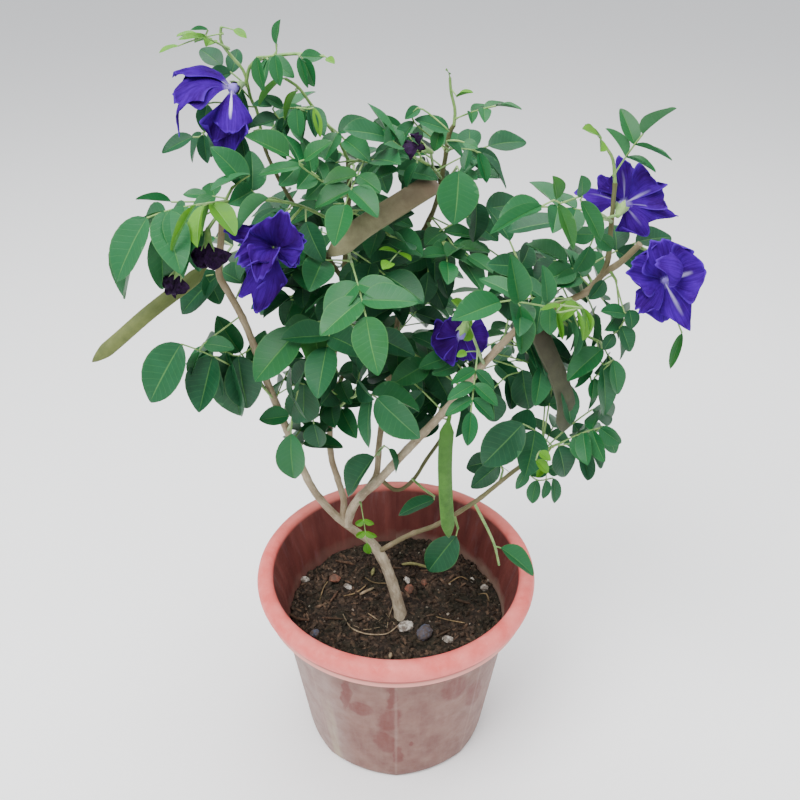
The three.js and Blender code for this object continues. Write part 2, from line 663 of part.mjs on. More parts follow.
// A compound leaf: a stalk that arches a little, leaflets in pairs along it and one at its
// end, all in one sheet.
const pairPlaces = { 0: [], 1: [0.62], 2: [0.42, 0.72], 3: [0.35, 0.58, 0.8] };
const hang = { level: 0.12, hanging: 0.9, arching: -0.18 };
const stalkHalfThickness = 0.55;
const rootHalf = 0.35;

function leafFrame(start, end, habit) {
  const along = end.clone().sub(start).normalize();
  const outward = new THREE.Vector3(start.x, start.y - 60, 0).normalize();
  const wish = up.clone().addScaledVector(outward, habit === 'hanging' ? 0.9 : 0.55);
  return wish.addScaledVector(along, -wish.dot(along)).normalize();
}

function leafStalk(start, end, habit) {
  const rise = (habit === 'hanging' ? 0.1 : 0.06) * start.distanceTo(end);
  const middle = start.clone().lerp(end, 0.5).addScaledVector(up, rise);
  return new THREE.QuadraticBezierCurve3(start, middle, end);
}

function stalkOf(twig, [place, endPlace, pairs, , habit], end = seen(endPlace)) {
  const start = placeOn(twig, place);
  const face = leafFrame(start, end, habit);
  const stalk = leafStalk(start, end, habit);
  const half = 1.2 / start.distanceTo(end);
  const joints = pairPlaces[pairs].flatMap((t) => [t - half, t + half]);
  const stations = [0, ...joints, 1];
  const sheet = { points: [], looks: [], halves: [], faces: [] };
  stations.forEach((t, k) => {
    const tangent = stalk.getTangent(t);
    const side = tangent.clone().cross(face).normalize();
    for (const hand of [-1, 1]) {
      const half = k ? stalkRadius : rootHalf;
      sheet.points.push(stalk.getPoint(t).addScaledVector(side, hand * half));
      sheet.looks.push(side.clone().cross(tangent).normalize());
      sheet.halves.push(k ? stalkHalfThickness : rootHalf);
    }
    const [l, r] = [2 * k, 2 * k + 1];
    if (k + 1 < stations.length) sheet.faces.push([l, r, r + 2], [l, r + 2, l + 2]);
  });
  return { start, end, face, stalk, sheet };
}

function addBlade(sheet, blade, from, to) {
  let [one, other] = [from, to];
  const add = (point) => {
    sheet.points.push(point);
    sheet.looks.push(blade.look);
    sheet.halves.push(bladeThickness / 2);
    return sheet.points.length - 1;
  };
  for (const line of blade.lines) {
    const [nextOne, nextOther] = line.map(add);
    sheet.faces.push([one, nextOne, nextOther], [one, nextOther, other]);
    [one, other] = [nextOne, nextOther];
  }
  sheet.faces.push([one, add(blade.tip), other]);
}

function growLeaf(leafName, { end, face, stalk, sheet }, leaf, stations) {
  const [, , pairs, length, habit, , aimPlace, ratio = 0.54] = leaf;
  const fall = new THREE.Vector3(0, 0, -hang[habit]);
  pairPlaces[pairs].forEach((t, k) => {
    const tangent = stalk.getTangent(t);
    const side = tangent.clone().cross(face).normalize();
    for (const hand of [1, -1]) {
      const along = tangent.clone().multiplyScalar(0.5)
        .addScaledVector(side, hand * 0.87).add(fall).normalize();
      const look = face.clone().addScaledVector(along, -face.dot(along)).normalize();
      const reach = length * (t < 0.5 && pairs > 1 ? 0.88 : 1);
      const blade = clearBlade(leafName, stalk.getPoint(t), along, look, reach, ratio, stations);
      const near = 2 * (1 + 2 * k) + (hand > 0 ? 1 : 0);
      const far = near + 2;
      if (blade) addBlade(sheet, blade, ...(hand > 0 ? [near, far] : [far, near]));
    }
  });
  const straight = aimPlace
    ? seen(aimPlace).sub(end).normalize()
    : stalk.getTangent(1).add(fall).normalize();
  const look = face.clone().addScaledVector(straight, -face.dot(straight)).normalize();
  const endLength = aimPlace ? seen(aimPlace).distanceTo(end) : length * 1.08;
  const blade = clearBlade(leafName, end, straight, look, endLength, ratio, stations);
  const last = 2 * (2 * pairs + 1);
  if (blade) addBlade(sheet, blade, last + 1, last);
  return thicken(sheet);
}

function growInner(name, leafName, place, first) {
  const [twig, solids] = twigs.get(name);
  const { ways, reach, length, rise, golden, front } = inner;
  for (let k = first; k < first + ways; k += 1) {
    const heading = new THREE.Vector3(Math.cos(golden * k), Math.sin(golden * k), rise);
    const end = placeOn(twig, place).addScaledVector(heading.normalize(), reach);
    const leaf = [place, null, 1, length, 'level', 'dark'];
    const grown = stalkOf(twig, leaf, end);
    const points = Array.from({ length: 40 }, (_, j) => grown.stalk.getPoint(j / 39));
    const mine = (owner, spot) => owner === name && spot.distanceTo(grown.start) < 8;
    const straight = grown.stalk.getTangent(1);
    const last = [leafName, end, straight, grown.face, length, 0.54, [0.45]];
    if (heading.y > front && isClear(points, mine) && findBlade(...last)) {
      occupy(leafName, points);
      solids.push(growLeaf(leafName, grown, leaf, [0.45]));
      return;
    }
  }
}

// A petal: a sheet from the throat to its tip, narrow at its claw, wide and ruffled beyond.
const petalRows = [0.02, 0.55, 1];
const petalColumns = [-1, 0, 1];

function petalPoint({ throat, along, across, look, length, petal }, u, v) {
  const [, width, , bow, cup, ruffle] = petal;
  const spreadOut = 0.03 + 0.97 * Math.sin(Math.PI / 2 * Math.min(1, u / 0.75)) ** 1.4;
  const reach = u * (1 - 0.3 * v * v * u);
  const lift = bow * length * 4 * reach * (1 - reach)
    + cup * width * (spreadOut * v) ** 2
    + ruffle * u * u * Math.sin(2 * Math.PI * v + width);
  return throat.clone()
    .addScaledVector(along, length * reach)
    .addScaledVector(across, 0.5 * width * spreadOut * v)
    .addScaledVector(look, lift);
}

function petalFrame(throat, petal) {
  const tip = seen(petal[0]);
  const along = tip.clone().sub(throat).normalize();
  const across = along.clone().cross(facing(petal[2])).normalize();
  const look = across.clone().cross(along).normalize();
  return { throat, along, across, look, length: throat.distanceTo(tip), petal };
}

function petalSolid(throat, petal) {
  const frame = petalFrame(throat, petal);
  const wide = petalColumns.length;
  const points = petalRows.flatMap((u) => petalColumns.map((v) => petalPoint(frame, u, v)));
  const faces = [];
  for (let row = 0; row + 1 < petalRows.length; row += 1) {
    for (let k = 0; k + 1 < wide; k += 1) {
      const a = row * wide + k;
      faces.push([a, a + 1, a + wide + 1], [a, a + wide + 1, a + wide]);
    }
  }
  return thicken({
    points,
    looks: points.map(() => frame.look),
    halves: points.map(() => petalThickness / 2),
    faces,
  });
}

// The calyx is green and stays with its spray. The bloom's claws stand in it.
const calyxLength = 9;

function calyxEnds(bloom) {
  const foot = seen(bloom.calyx);
  const axis = seen(bloom.throat).sub(foot).normalize();
  return [foot.clone().addScaledVector(axis, -2), foot.clone().addScaledVector(axis, calyxLength)];
}

function calyxSolid(bloom, swell) {
  return stem(calyxEnds(bloom), (along) => 1.3 + 2.2 * along ** 0.6 + swell, 6, 4);
}

function bloomSolid(bloom, fresh) {
  const [foot, mouth] = calyxEnds(bloom);
  const throat = seen(bloom.throat);
  const inside = mouth.clone().lerp(foot, 0.25);
  const claws = stem([inside, throat.clone().lerp(inside, -0.3)], taper(2.4, fresh ? 3.4 : 2.2), 6, 60);
  const petals = bloom.petals.map((petal) => petalSolid(throat, petal));
  const heart = fresh ? [lump(throat, [6.8, 6.8, 6.8], 0.3)] : [];
  return fuse([claws, ...heart, ...petals]).subtract(calyxSolid(bloom, gap));
}

// The pot's wall in plan: a circle whose eight flats deepen towards the foot. One corner
// looks to the front. The foot's edge arches up a little between the corners.
const turns = Array.from({ length: sides * perSide }, (_, k) => (
  -Math.PI / 2 + 2 * Math.PI * k / (sides * perSide)
));

function potRing(radius, height, flats, arch) {
  return turns.map((turn, k) => {
    const fromMiddle = Math.PI / sides * (2 * (k % perSide) / perSide - 1);
    const flat = Math.cos(Math.PI / sides) / Math.cos(fromMiddle);
    const reach = radius * (1 - flats * (1 - flat));
    const lift = arch * Math.cos(fromMiddle * sides / 2);
    return new THREE.Vector3(reach * Math.cos(turn), reach * Math.sin(turn), height + lift);
  });
}

const outerRadius = (z) => footRadius + (neckRadius - footRadius) * z / neckHeight;
const innerRadius = (z) => outerRadius(z) * (1 - 0.08 * flatDepth) - wall;

function potSolid() {
  const rings = [
    potRing(restRadius, 0, 0, 0),
    potRing(footRadius - 4, 0, flatDepth, footArch),
    potRing(footRadius, 3, flatDepth, footArch),
    potRing(outerRadius(85), 85, flatDepth, 0),
    potRing(neckRadius, neckHeight, 0.4 * flatDepth, 0),
    potRing(rimRadius - 6, neckHeight + 3, 0, 0),
    potRing(rimRadius - 4, neckHeight + 11, 0, 0),
    potRing(rimRadius, neckHeight + 19, 0, 0),
    potRing(rimRadius - 3, potHeight - 2, 0, 0),
    potRing(rimRadius - 11, potHeight - 0.5, 0, 0),
    potRing(rimRadius - rimWidth, 191, 0, 0),
    potRing(innerRadius(160), 160, 0, 0),
    potRing(innerRadius(wall), wall, 0, 0),
  ];
  const holes = Array.from({ length: drains }, (_, k) => {
    const turn = 2 * Math.PI * (k + 0.5) / drains;
    const place = new THREE.Vector3(drainRing * Math.cos(turn), drainRing * Math.sin(turn), -5);
    return stem([place, place.clone().setZ(12)], () => drainRadius, 8, 40);
  });
  return skin(rings).subtract(fuse(holes));
}

// The soil fills the pot but for a narrow gap, and its top is uneven.
function soilHeight(x, y) {
  const waves = Math.sin(x / 13 + 0.6) * Math.cos(y / 17) + 0.6 * Math.sin((x + y) / 9);
  const sink = 4 * Math.exp(-((x - 5) ** 2 + (y + 12) ** 2) / 900);
  return soilTop + soilRelief * 0.6 * waves + sink * 0.6;
}

function soilSolid() {
  const ring = (radius, height) => turns.map((turn) => {
    const x = radius * Math.cos(turn);
    const y = radius * Math.sin(turn);
    return new THREE.Vector3(x, y, height ?? soilHeight(x, y));
  });
  const snug = (z) => innerRadius(z) - gap - 0.6;
  return skin([
    ring(snug(wall), wall + gap),
    ring(snug(soilTop - 6), soilTop - 6),
    ...[0.985, 0.62, 0.28].map((part) => ring(part * snug(soilTop))),
  ]);
}

// Stones on the soil: place, half sizes and turn.
const stones = {
  stone_pale: [[9, -25, 137], [8, 6, 4.5], 0.4],
  stone_blue: [[27, -33, 137], [9.5, 7, 5], 1.1],
  brick_chip: [[-62, 40, 137], [6, 4.5, 3.5], 0.2],
};

function stoneSolid([place, halves, turn], swell) {
  return lump(new THREE.Vector3(...place), halves.map((half) => half + swell), turn);
}

// Everything is made in order: what carries, then what hangs from it, then the leaves.
const sideOf = { trunk: 7, left: 5, right: 5 };

function woodSolid(swell) {
  return fuse(Object.entries(wood).map(([name, [foot, top, route]]) => stem(
    route.map(seen), taper(foot + swell, top + swell), sideOf[name] ?? 4, woodStep,
  )));
}

const made = new Map();
const woodLines = Object.values(wood).map(([, , route]) => lineOf(route.map(seen), woodStep));
const woodWhole = woodSolid(0);
const woodSwollen = woodSolid(gap);
made.set('wood', [woodWhole, colours.bark]);
occupySolid('wood', woodWhole);

const podColours = {
  pod_olive: colours.podOlive, pod_tan: colours.podTan, pod_brown: colours.podTan,
  pod_green: colours.podGreen,
};
for (const [name, [half, route]] of Object.entries(pods)) {
  const swelling = (along) => (
    along < 0.12 ? 1.2 + along * 6 : half * Math.min(1, (along - 0.08) / 0.1, 0.12 + (1 - along) / 0.14)
  );
  const pod = stem(rooted(route.map(seen), woodLines), swelling, 6, 12, 0.4, facing([0.1, 0.1, 1]))
    .subtract(woodSwollen);
  made.set(name, [pod, podColours[name]]);
  occupySolid(name, pod);
}

for (const [name, bloom] of Object.entries(blooms)) {
  const fresh = name.startsWith('bloom');
  const whole = bloomSolid(bloom, fresh);
  made.set(name, [whole, fresh ? colours.petal : colours.withered]);
  occupySolid(name, whole);
}

// A side shoot stands on another shoot, clear of it by the same gap as on wood.
const carriers = { top_left_side: 'top_left_shoot' };
const twigs = new Map();
for (const [name, [route]] of Object.entries(sprays)) {
  const carrier = carriers[name];
  const points = rooted(route.map(seen), carrier ? [twigs.get(carrier)[0]] : woodLines);
  const line = lineOf(points, twigStep);
  const solids = [stem(points, twigRadius, twigSides, twigStep)];
  for (const bloom of Object.values(blooms)) {
    if (bloom.on[0] === name) {
      const from = placeOn(line, bloom.on[1]);
      solids.push(stem([from, calyxEnds(bloom)[0].lerp(calyxEnds(bloom)[1], 0.2)],
        () => 1.0, 4, 20));
      solids.push(calyxSolid(bloom, 0));
    }
  }
  twigs.set(name, [line, solids, points]);
  occupySolid(name, fuse(solids));
}

const stalks = Object.entries(sprays).flatMap(([name, [, leaves]]) => (
  leaves.map((leaf, k) => [name, `${name} ${k}`, leaf, stalkOf(twigs.get(name)[0], leaf)])
));
for (const [, leafName, , { stalk }] of stalks) {
  const points = Array.from({ length: 40 }, (_, k) => stalk.getPoint(k / 39));
  occupy(leafName, points);
}
for (const [name, leafName, leaf, stalk] of stalks) {
  twigs.get(name)[1].push(growLeaf(leafName, stalk, leaf));
}
innerLeaves.forEach(([name, place], k) => growInner(name, `${name} inner ${k}`, place, k));
for (const [name, [, solids]] of twigs) {
  const carrier = carriers[name];
  const clear = carrier
    ? woodSwollen.add(stem(twigs.get(carrier)[2], (along) => (
      twigRadius(along) + 2 * gap
    ), twigSides, twigStep))
    : woodSwollen;
  const [, , , , , age] = sprays[name][1][0] ?? [];
  made.set(name, [fuse(solids).subtract(clear), colours[age ?? 'mature']]);
}

made.set('pot', [potSolid(), colours.pot]);
const stoneColours = {
  stone_pale: colours.paleStone, stone_blue: colours.blueStone, brick_chip: colours.brick,
};
const bedded = [woodSwollen];
for (const [name, stone] of Object.entries(stones)) {
  made.set(name, [stoneSolid(stone, 0), stoneColours[name]]);
  bedded.push(stoneSolid(stone, gap));
}
made.set('soil', [soilSolid().subtract(fuse(bedded)), colours.soil]);

const plant = new THREE.Group();
for (const [name, [whole, colour]] of made) {
  const material = new THREE.MeshStandardMaterial({ color: colour, roughness: 0.7, metalness: 0 });
  const mesh = new THREE.Mesh(geometryOf(whole), material);
  mesh.name = name;
  plant.add(mesh);
}

export default plant;
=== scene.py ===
import json
import math
import random

import bmesh
import bpy
import numpy as np
from mathutils import Matrix, Vector, kdtree, noise
from numpy.linalg import norm

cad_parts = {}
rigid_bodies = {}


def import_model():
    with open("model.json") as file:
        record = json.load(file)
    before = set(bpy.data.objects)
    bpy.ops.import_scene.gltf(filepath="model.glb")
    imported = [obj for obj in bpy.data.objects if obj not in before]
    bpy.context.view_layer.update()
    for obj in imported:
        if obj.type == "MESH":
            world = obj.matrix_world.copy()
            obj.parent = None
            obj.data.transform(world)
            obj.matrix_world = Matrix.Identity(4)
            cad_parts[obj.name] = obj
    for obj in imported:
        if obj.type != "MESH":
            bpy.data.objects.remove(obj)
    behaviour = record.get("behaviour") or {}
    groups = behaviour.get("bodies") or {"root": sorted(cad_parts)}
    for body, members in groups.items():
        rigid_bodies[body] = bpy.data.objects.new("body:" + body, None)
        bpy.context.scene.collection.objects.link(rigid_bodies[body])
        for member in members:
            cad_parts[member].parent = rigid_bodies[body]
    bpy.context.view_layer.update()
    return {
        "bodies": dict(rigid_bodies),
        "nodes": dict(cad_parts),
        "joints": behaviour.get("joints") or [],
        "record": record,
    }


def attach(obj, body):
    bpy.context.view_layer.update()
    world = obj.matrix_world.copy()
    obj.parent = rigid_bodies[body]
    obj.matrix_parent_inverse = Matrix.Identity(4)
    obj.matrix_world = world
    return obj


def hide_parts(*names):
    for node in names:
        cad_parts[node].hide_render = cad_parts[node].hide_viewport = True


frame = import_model()
nodes = frame["nodes"]

# A butterfly pea with doubled violet flowers in a ten inch plastic pot.
# Sizes are in millimetres, and meshes are scaled to metres as they are made.
mm = 0.001
upward = np.array([0.0, 0.0, 1.0])

# the camera, fitted to the pot's rim, foot and wall in the photograph
view = {
    "pixels": 800, "focal": 900, "middleColumn": 396, "middleRow": 400,
    "eye": (0.0, -635.1, 775.9), "dip": 32.2,
}
dip = math.radians(view["dip"])
ahead = np.array([0.0, math.cos(dip), -math.sin(dip)])
above = np.array([0.0, math.sin(dip), math.cos(dip)])
toRight = np.array([1.0, 0.0, 0.0])


def seen(place):
    # a column and a row of the photograph, and the distance behind the pot's axis
    column, row, depth = place
    ray = (ahead + toRight * (column - view["middleColumn"]) / view["focal"]
           + above * (view["middleRow"] - row) / view["focal"])
    eye = np.array(view["eye"])
    return eye + ray * (depth - eye[1]) / ray[1]


def facing(direction):
    # to the photograph's right, to its top and towards the viewer
    across, rise, near = direction
    return unit(toRight * across + above * rise - ahead * near)


def unit(vector):
    return vector / max(1e-9, norm(vector))


def turned(vector, axis, degrees):
    return np.array(Matrix.Rotation(math.radians(degrees), 3, Vector(axis)) @ Vector(vector))


def routePoint(points, t):
    last = len(points) - 1
    k = min(int(t * last), last - 1)
    w = t * last - k
    a, b = points[k], points[k + 1]
    before = points[k - 1] if k else 2 * a - b
    after = points[k + 2] if k + 2 <= last else 2 * b - a
    start, end = 0.5 * (b - before), 0.5 * (after - a)
    return (a + start * w + (3 * (b - a) - 2 * start - end) * w ** 2
            + (2 * (a - b) + start + end) * w ** 3)


def evenRoute(points, step=None, count=None):
    # points at equal lengths along the smooth line through the given ones
    ways = np.linspace(0, 1, 201)
    fine = np.array([routePoint(points, t) for t in ways])
    reach = np.concatenate([[0], np.cumsum(norm(np.diff(fine, axis=0), axis=1))])
    count = count or max(1, math.floor(reach[-1] / step + 0.5))
    evenly = np.interp(np.linspace(0, reach[-1], count + 1), reach, ways)
    return [routePoint(points, t) for t in evenly]


def rooted(points, lines):
    # a shoot starts at the point of its branch that is nearest to where it was seen
    best = None
    for line in lines:
        for a, b in zip(line, line[1:]):
            w = np.clip(np.dot(points[0] - a, b - a) / np.dot(b - a, b - a), 0, 1)
            place = a + (b - a) * w
            gap = norm(place - points[0])
            if best is None or gap < best[0]:
                best = (gap, place)
    return [best[1], *points[1:]]


def placeOn(line, along):
    place = along * (len(line) - 1)
    k = min(int(place), len(line) - 2)
    return line[k] + (line[k + 1] - line[k]) * (place - k)


def colour(code):
    # an sRGB hex value as linear light
    parts = [int(code[k:k + 2], 16) / 255 for k in (1, 3, 5)]
    return (*[p / 12.92 if p < 0.04045 else ((p + 0.055) / 1.055) ** 2.4 for p in parts], 1)


def setInputs(tree, node, inputs):
    for socket, value in inputs.items():
        if isinstance(value, bpy.types.NodeSocket):
            tree.links.new(value, node.inputs[socket])
        else:
            node.inputs[socket].default_value = value


def addNode(tree, kind, inputs=None, **settings):
    node = tree.nodes.new(kind)
    for name, value in settings.items():
        setattr(node, name, value)
    setInputs(tree, node, inputs or {})
    return node


def firstOf(tree, kind, inputs=None, **settings):
    # the first output of a new node
    return addNode(tree, kind, inputs, **settings).outputs[0]


def newMaterial(name):
    material = bpy.data.materials.new(name)
    material.use_nodes = True
    tree = material.node_tree
    tree.nodes.clear()
    surface = addNode(tree, "ShaderNodeBsdfPrincipled")
    addNode(tree, "ShaderNodeOutputMaterial", {"Surface": surface.outputs[0]})
    return material, tree, surface


def coat(tree, surface, body, roughness, specular=0.5, **others):
    setInputs(tree, surface, {
        "Base Color": body, "Roughness": roughness, "Specular IOR Level": specular, **others})


def maths(tree, operation, first, second=0.0, third=0.0):
    return firstOf(tree, "ShaderNodeMath", {0: first, 1: second, 2: third}, operation=operation)


def product(tree, first, second):
    return maths(tree, "MULTIPLY", first, second)


def ramp(tree, value, stops):
    node = addNode(tree, "ShaderNodeValToRGB", {0: value})
    while len(node.color_ramp.elements) < len(stops):
        node.color_ramp.elements.new(0.5)
    for element, (place, code) in zip(node.color_ramp.elements, stops):
        element.position = place
        element.color = colour(code)
    return node.outputs[0]


def limits(tree, value, low, high, first=0.0, last=1.0):
    return firstOf(tree, "ShaderNodeMapRange", {
        "Value": value, "From Min": low, "From Max": high, "To Min": first, "To Max": last},
        clamp=True)


def blend(tree, share, first, second):
    # each colour is a hex value or comes from a node
    first, second = [colour(c) if isinstance(c, str) else c for c in (first, second)]
    return addNode(tree, "ShaderNodeMix", {0: share, 6: first, 7: second},
                   data_type="RGBA").outputs[2]


def grain(tree, place, size, detail=4.0, roughness=0.55, distortion=0.0):
    # noise whose lumps are about size millimetres across
    return addNode(tree, "ShaderNodeTexNoise", {
        "Vector": place, "Scale": 1 / (size * mm), "Detail": detail, "Roughness": roughness,
        "Distortion": distortion}).outputs["Fac"]


def bump(tree, surface, height, depth, strength=1.0, under=None):
    # depth in millimetres
    node = addNode(tree, "ShaderNodeBump", {
        "Height": height, "Distance": depth * mm, "Strength": strength})
    if under is not None:
        tree.links.new(under, node.inputs["Normal"])
    tree.links.new(node.outputs[0], surface.inputs["Normal"])
    return node.outputs[0]


def objectPlace(tree):
    return addNode(tree, "ShaderNodeTexCoord").outputs["Object"]


def attribute(tree, name):
    return addNode(tree, "ShaderNodeAttribute", attribute_name=name).outputs["Fac"]


def placed(piece):
    bpy.context.scene.collection.objects.link(piece)
    return piece


def meshObject(name, points, faces, materials):
    mesh = bpy.data.meshes.new(name)
    mesh.from_pydata([tuple(float(v) * mm for v in p) for p in points], [], faces)
    mesh.validate()
    for material in materials:
        mesh.materials.append(material)
    mesh.polygons.foreach_set("use_smooth", [True] * len(mesh.polygons))
    return placed(bpy.data.objects.new(name, mesh))


def ringFaces(rings, count, closed=True):
    faces = []
    for row in range(rings - 1):
        for k in range(count if closed else count - 1):
            a, b = row * count + k, row * count + (k + 1) % count
            faces.append((a, b, b + count, a + count))
    return faces


def cappedFaces(rings, count):
    return ringFaces(rings, count) + [
        tuple(reversed(range(count))), tuple(range((rings - 1) * count, rings * count))]


def setLayer(piece, name, values, kind="FLOAT", key="value", domain="POINT"):
    piece.data.attributes.new(name, kind, domain).data.foreach_set(key, values)


def setMap(piece, name, places):
    # the piece laid out flat: a place of the map for each point
    flat = piece.data.uv_layers.new(name=name)
    for loop in piece.data.loops:
        flat.data[loop.index].uv = places[loop.vertex_index]


def flatten(piece, name=None):
    # what the modifiers make of a piece, as a plain mesh
    graph = bpy.context.evaluated_depsgraph_get()
    mesh = bpy.data.meshes.new_from_object(piece.evaluated_get(graph), depsgraph=graph)
    old = piece.data
    if piece.type == "MESH":
        piece.modifiers.clear()
        piece.data = mesh
        bpy.data.meshes.remove(old)
        made = piece
    else:
        made = placed(bpy.data.objects.new(name or piece.name, mesh))
        bpy.data.objects.remove(piece)
    made.data.name = made.name
    return made


def growWith(piece, tree, **inputs):
    # a geometry nodes modifier whose inputs are set by their identifiers
    modifier = piece.modifiers.new(tree.name, "NODES")
    modifier.node_group = tree
    for item in tree.interface.items_tree:
        if item.item_type == "SOCKET" and item.in_out == "INPUT" and item.name in inputs:
            modifier[item.identifier] = inputs[item.name]
    return modifier


def newTree(name, sockets):
    tree = bpy.data.node_groups.new(name, "GeometryNodeTree")
    tree.interface.new_socket("Geometry", in_out="INPUT", socket_type="NodeSocketGeometry")
    for label, kind, value in sockets:
        socket = tree.interface.new_socket(label, in_out="INPUT", socket_type=kind)
        if value is not None:
            socket.default_value = value
    tree.interface.new_socket("Geometry", in_out="OUTPUT", socket_type="NodeSocketGeometry")
    return tree, addNode(tree, "NodeGroupInput").outputs


def endTree(tree, geometry, material):
    real = firstOf(tree, "GeometryNodeRealizeInstances", {0: geometry})
    dressed = firstOf(tree, "GeometryNodeSetMaterial", {0: real, "Material": material})
    addNode(tree, "NodeGroupOutput", {0: dressed})
    return tree


def keep(piece, slot, *standsFor):
    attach(piece, "root")
    if standsFor:
        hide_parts(*standsFor)
    return piece


def joined(name, members):
    bpy.ops.object.select_all(action="DESELECT")
    for member in members:
        member.select_set(True)
    bpy.context.view_layer.objects.active = members[0]
    bpy.ops.object.join()
    members[0].name = name
    members[0].data.name = name
    return members[0]


def smoothMesh(piece, angle):
    piece.data.polygons.foreach_set("use_smooth", [True] * len(piece.data.polygons))
    piece.data.set_sharp_from_angle(angle=math.radians(angle))


def roundPoint(middle, axis, turn, radius):
    # a point at a distance and a turn round an axis
    first = unit(np.cross(axis, upward))
    second = np.cross(axis, first)
    return middle + (first * math.cos(turn) + second * math.sin(turn)) * radius


print("helpers ready")


potValues = {
    "height": 196, "rimRadius": 130, "rimWidth": 15, "neckRadius": 112, "neckHeight": 167,
    "footRadius": 90, "wall": 3.4, "flatDepth": 0.12, "sides": 8, "footArch": 1.6,
    "restRadius": 72, "drainRadius": 6, "drainRing": 48, "drains": 5, "drainCorners": 24,
    "segments": 240, "wallHeights": (8, 20, 40, 62, 85, 108, 130, 148, 160, 165),
    "insideHeights": (160, 130, 100, 60, 20), "flatsFadeFrom": 85, "archFadesAt": 60,
    # the section of the rim: in from its edge and up from the neck, then down from the top
    "flare": [(7, 2), (5.4, 2.2), (5.2, 4), (6, 5.6), (5.8, 8), (3.4, 11), (1.2, 14),
              (0.2, 17.5), (0, 20.5)],
    "lip": [(0.8, 5), (2.6, 2.2), (5.5, 0.6), (9, 0), (12, 0.8), (14, 2.6)],
    # where the finish changes: lowest and highest millimetre of each change
    "beadStarts": (166.5, 168.5), "beadEnds": (172, 174), "rimStarts": (176, 179),
    "innerEnds": (190, 193), "behindRim": 168, "arcRadius": 100, "innerShift": 2.6, "rimLean": 6,
    # where the chalky film has peeled: degrees round from the front, height, half sizes, lean
    "peeled": [
        (-25, 126, 5, 30, -0.12), (-18, 110, 12, 11, 0.5), (-3, 99, 10, 22, -0.3),
        (-6, 62, 11, 20, 0.25), (-2, 136, 5, 22, -0.1), (1, 40, 6, 16, 0), (-12, 160, 34, 9, 0),
        (22, 158, 24, 12, 0), (30, 130, 14, 20, 0.4), (45, 100, 12, 24, 0.3), (8, 57, 3, 4, 0.3),
        (100, 90, 14, 20, 0.4), (150, 60, 10, 24, -0.2), (-165, 112, 16, 18, 0.3),
        (-120, 80, 9, 26, 0.1), (-70, 130, 16, 12, -0.3)],
}


def outerRadius(z):
    share = z / potValues["neckHeight"]
    return potValues["footRadius"] + (potValues["neckRadius"] - potValues["footRadius"]) * share


def innerRadius(z):
    return outerRadius(z) * (1 - 0.08 * potValues["flatDepth"]) - potValues["wall"]


def potPlace(radius, height, flats, arch, turn):
    # the wall is a circle whose eight flats deepen towards the foot
    side = 2 * math.pi / potValues["sides"]
    fromMiddle = (turn + math.pi / 2) % side - side / 2
    flat = math.cos(side / 2) / math.cos(fromMiddle)
    reach = radius * (1 - flats * (1 - flat))
    lift = arch * math.cos(fromMiddle * potValues["sides"] / 2) ** 0.6
    return (reach * math.cos(turn), reach * math.sin(turn), height + lift)


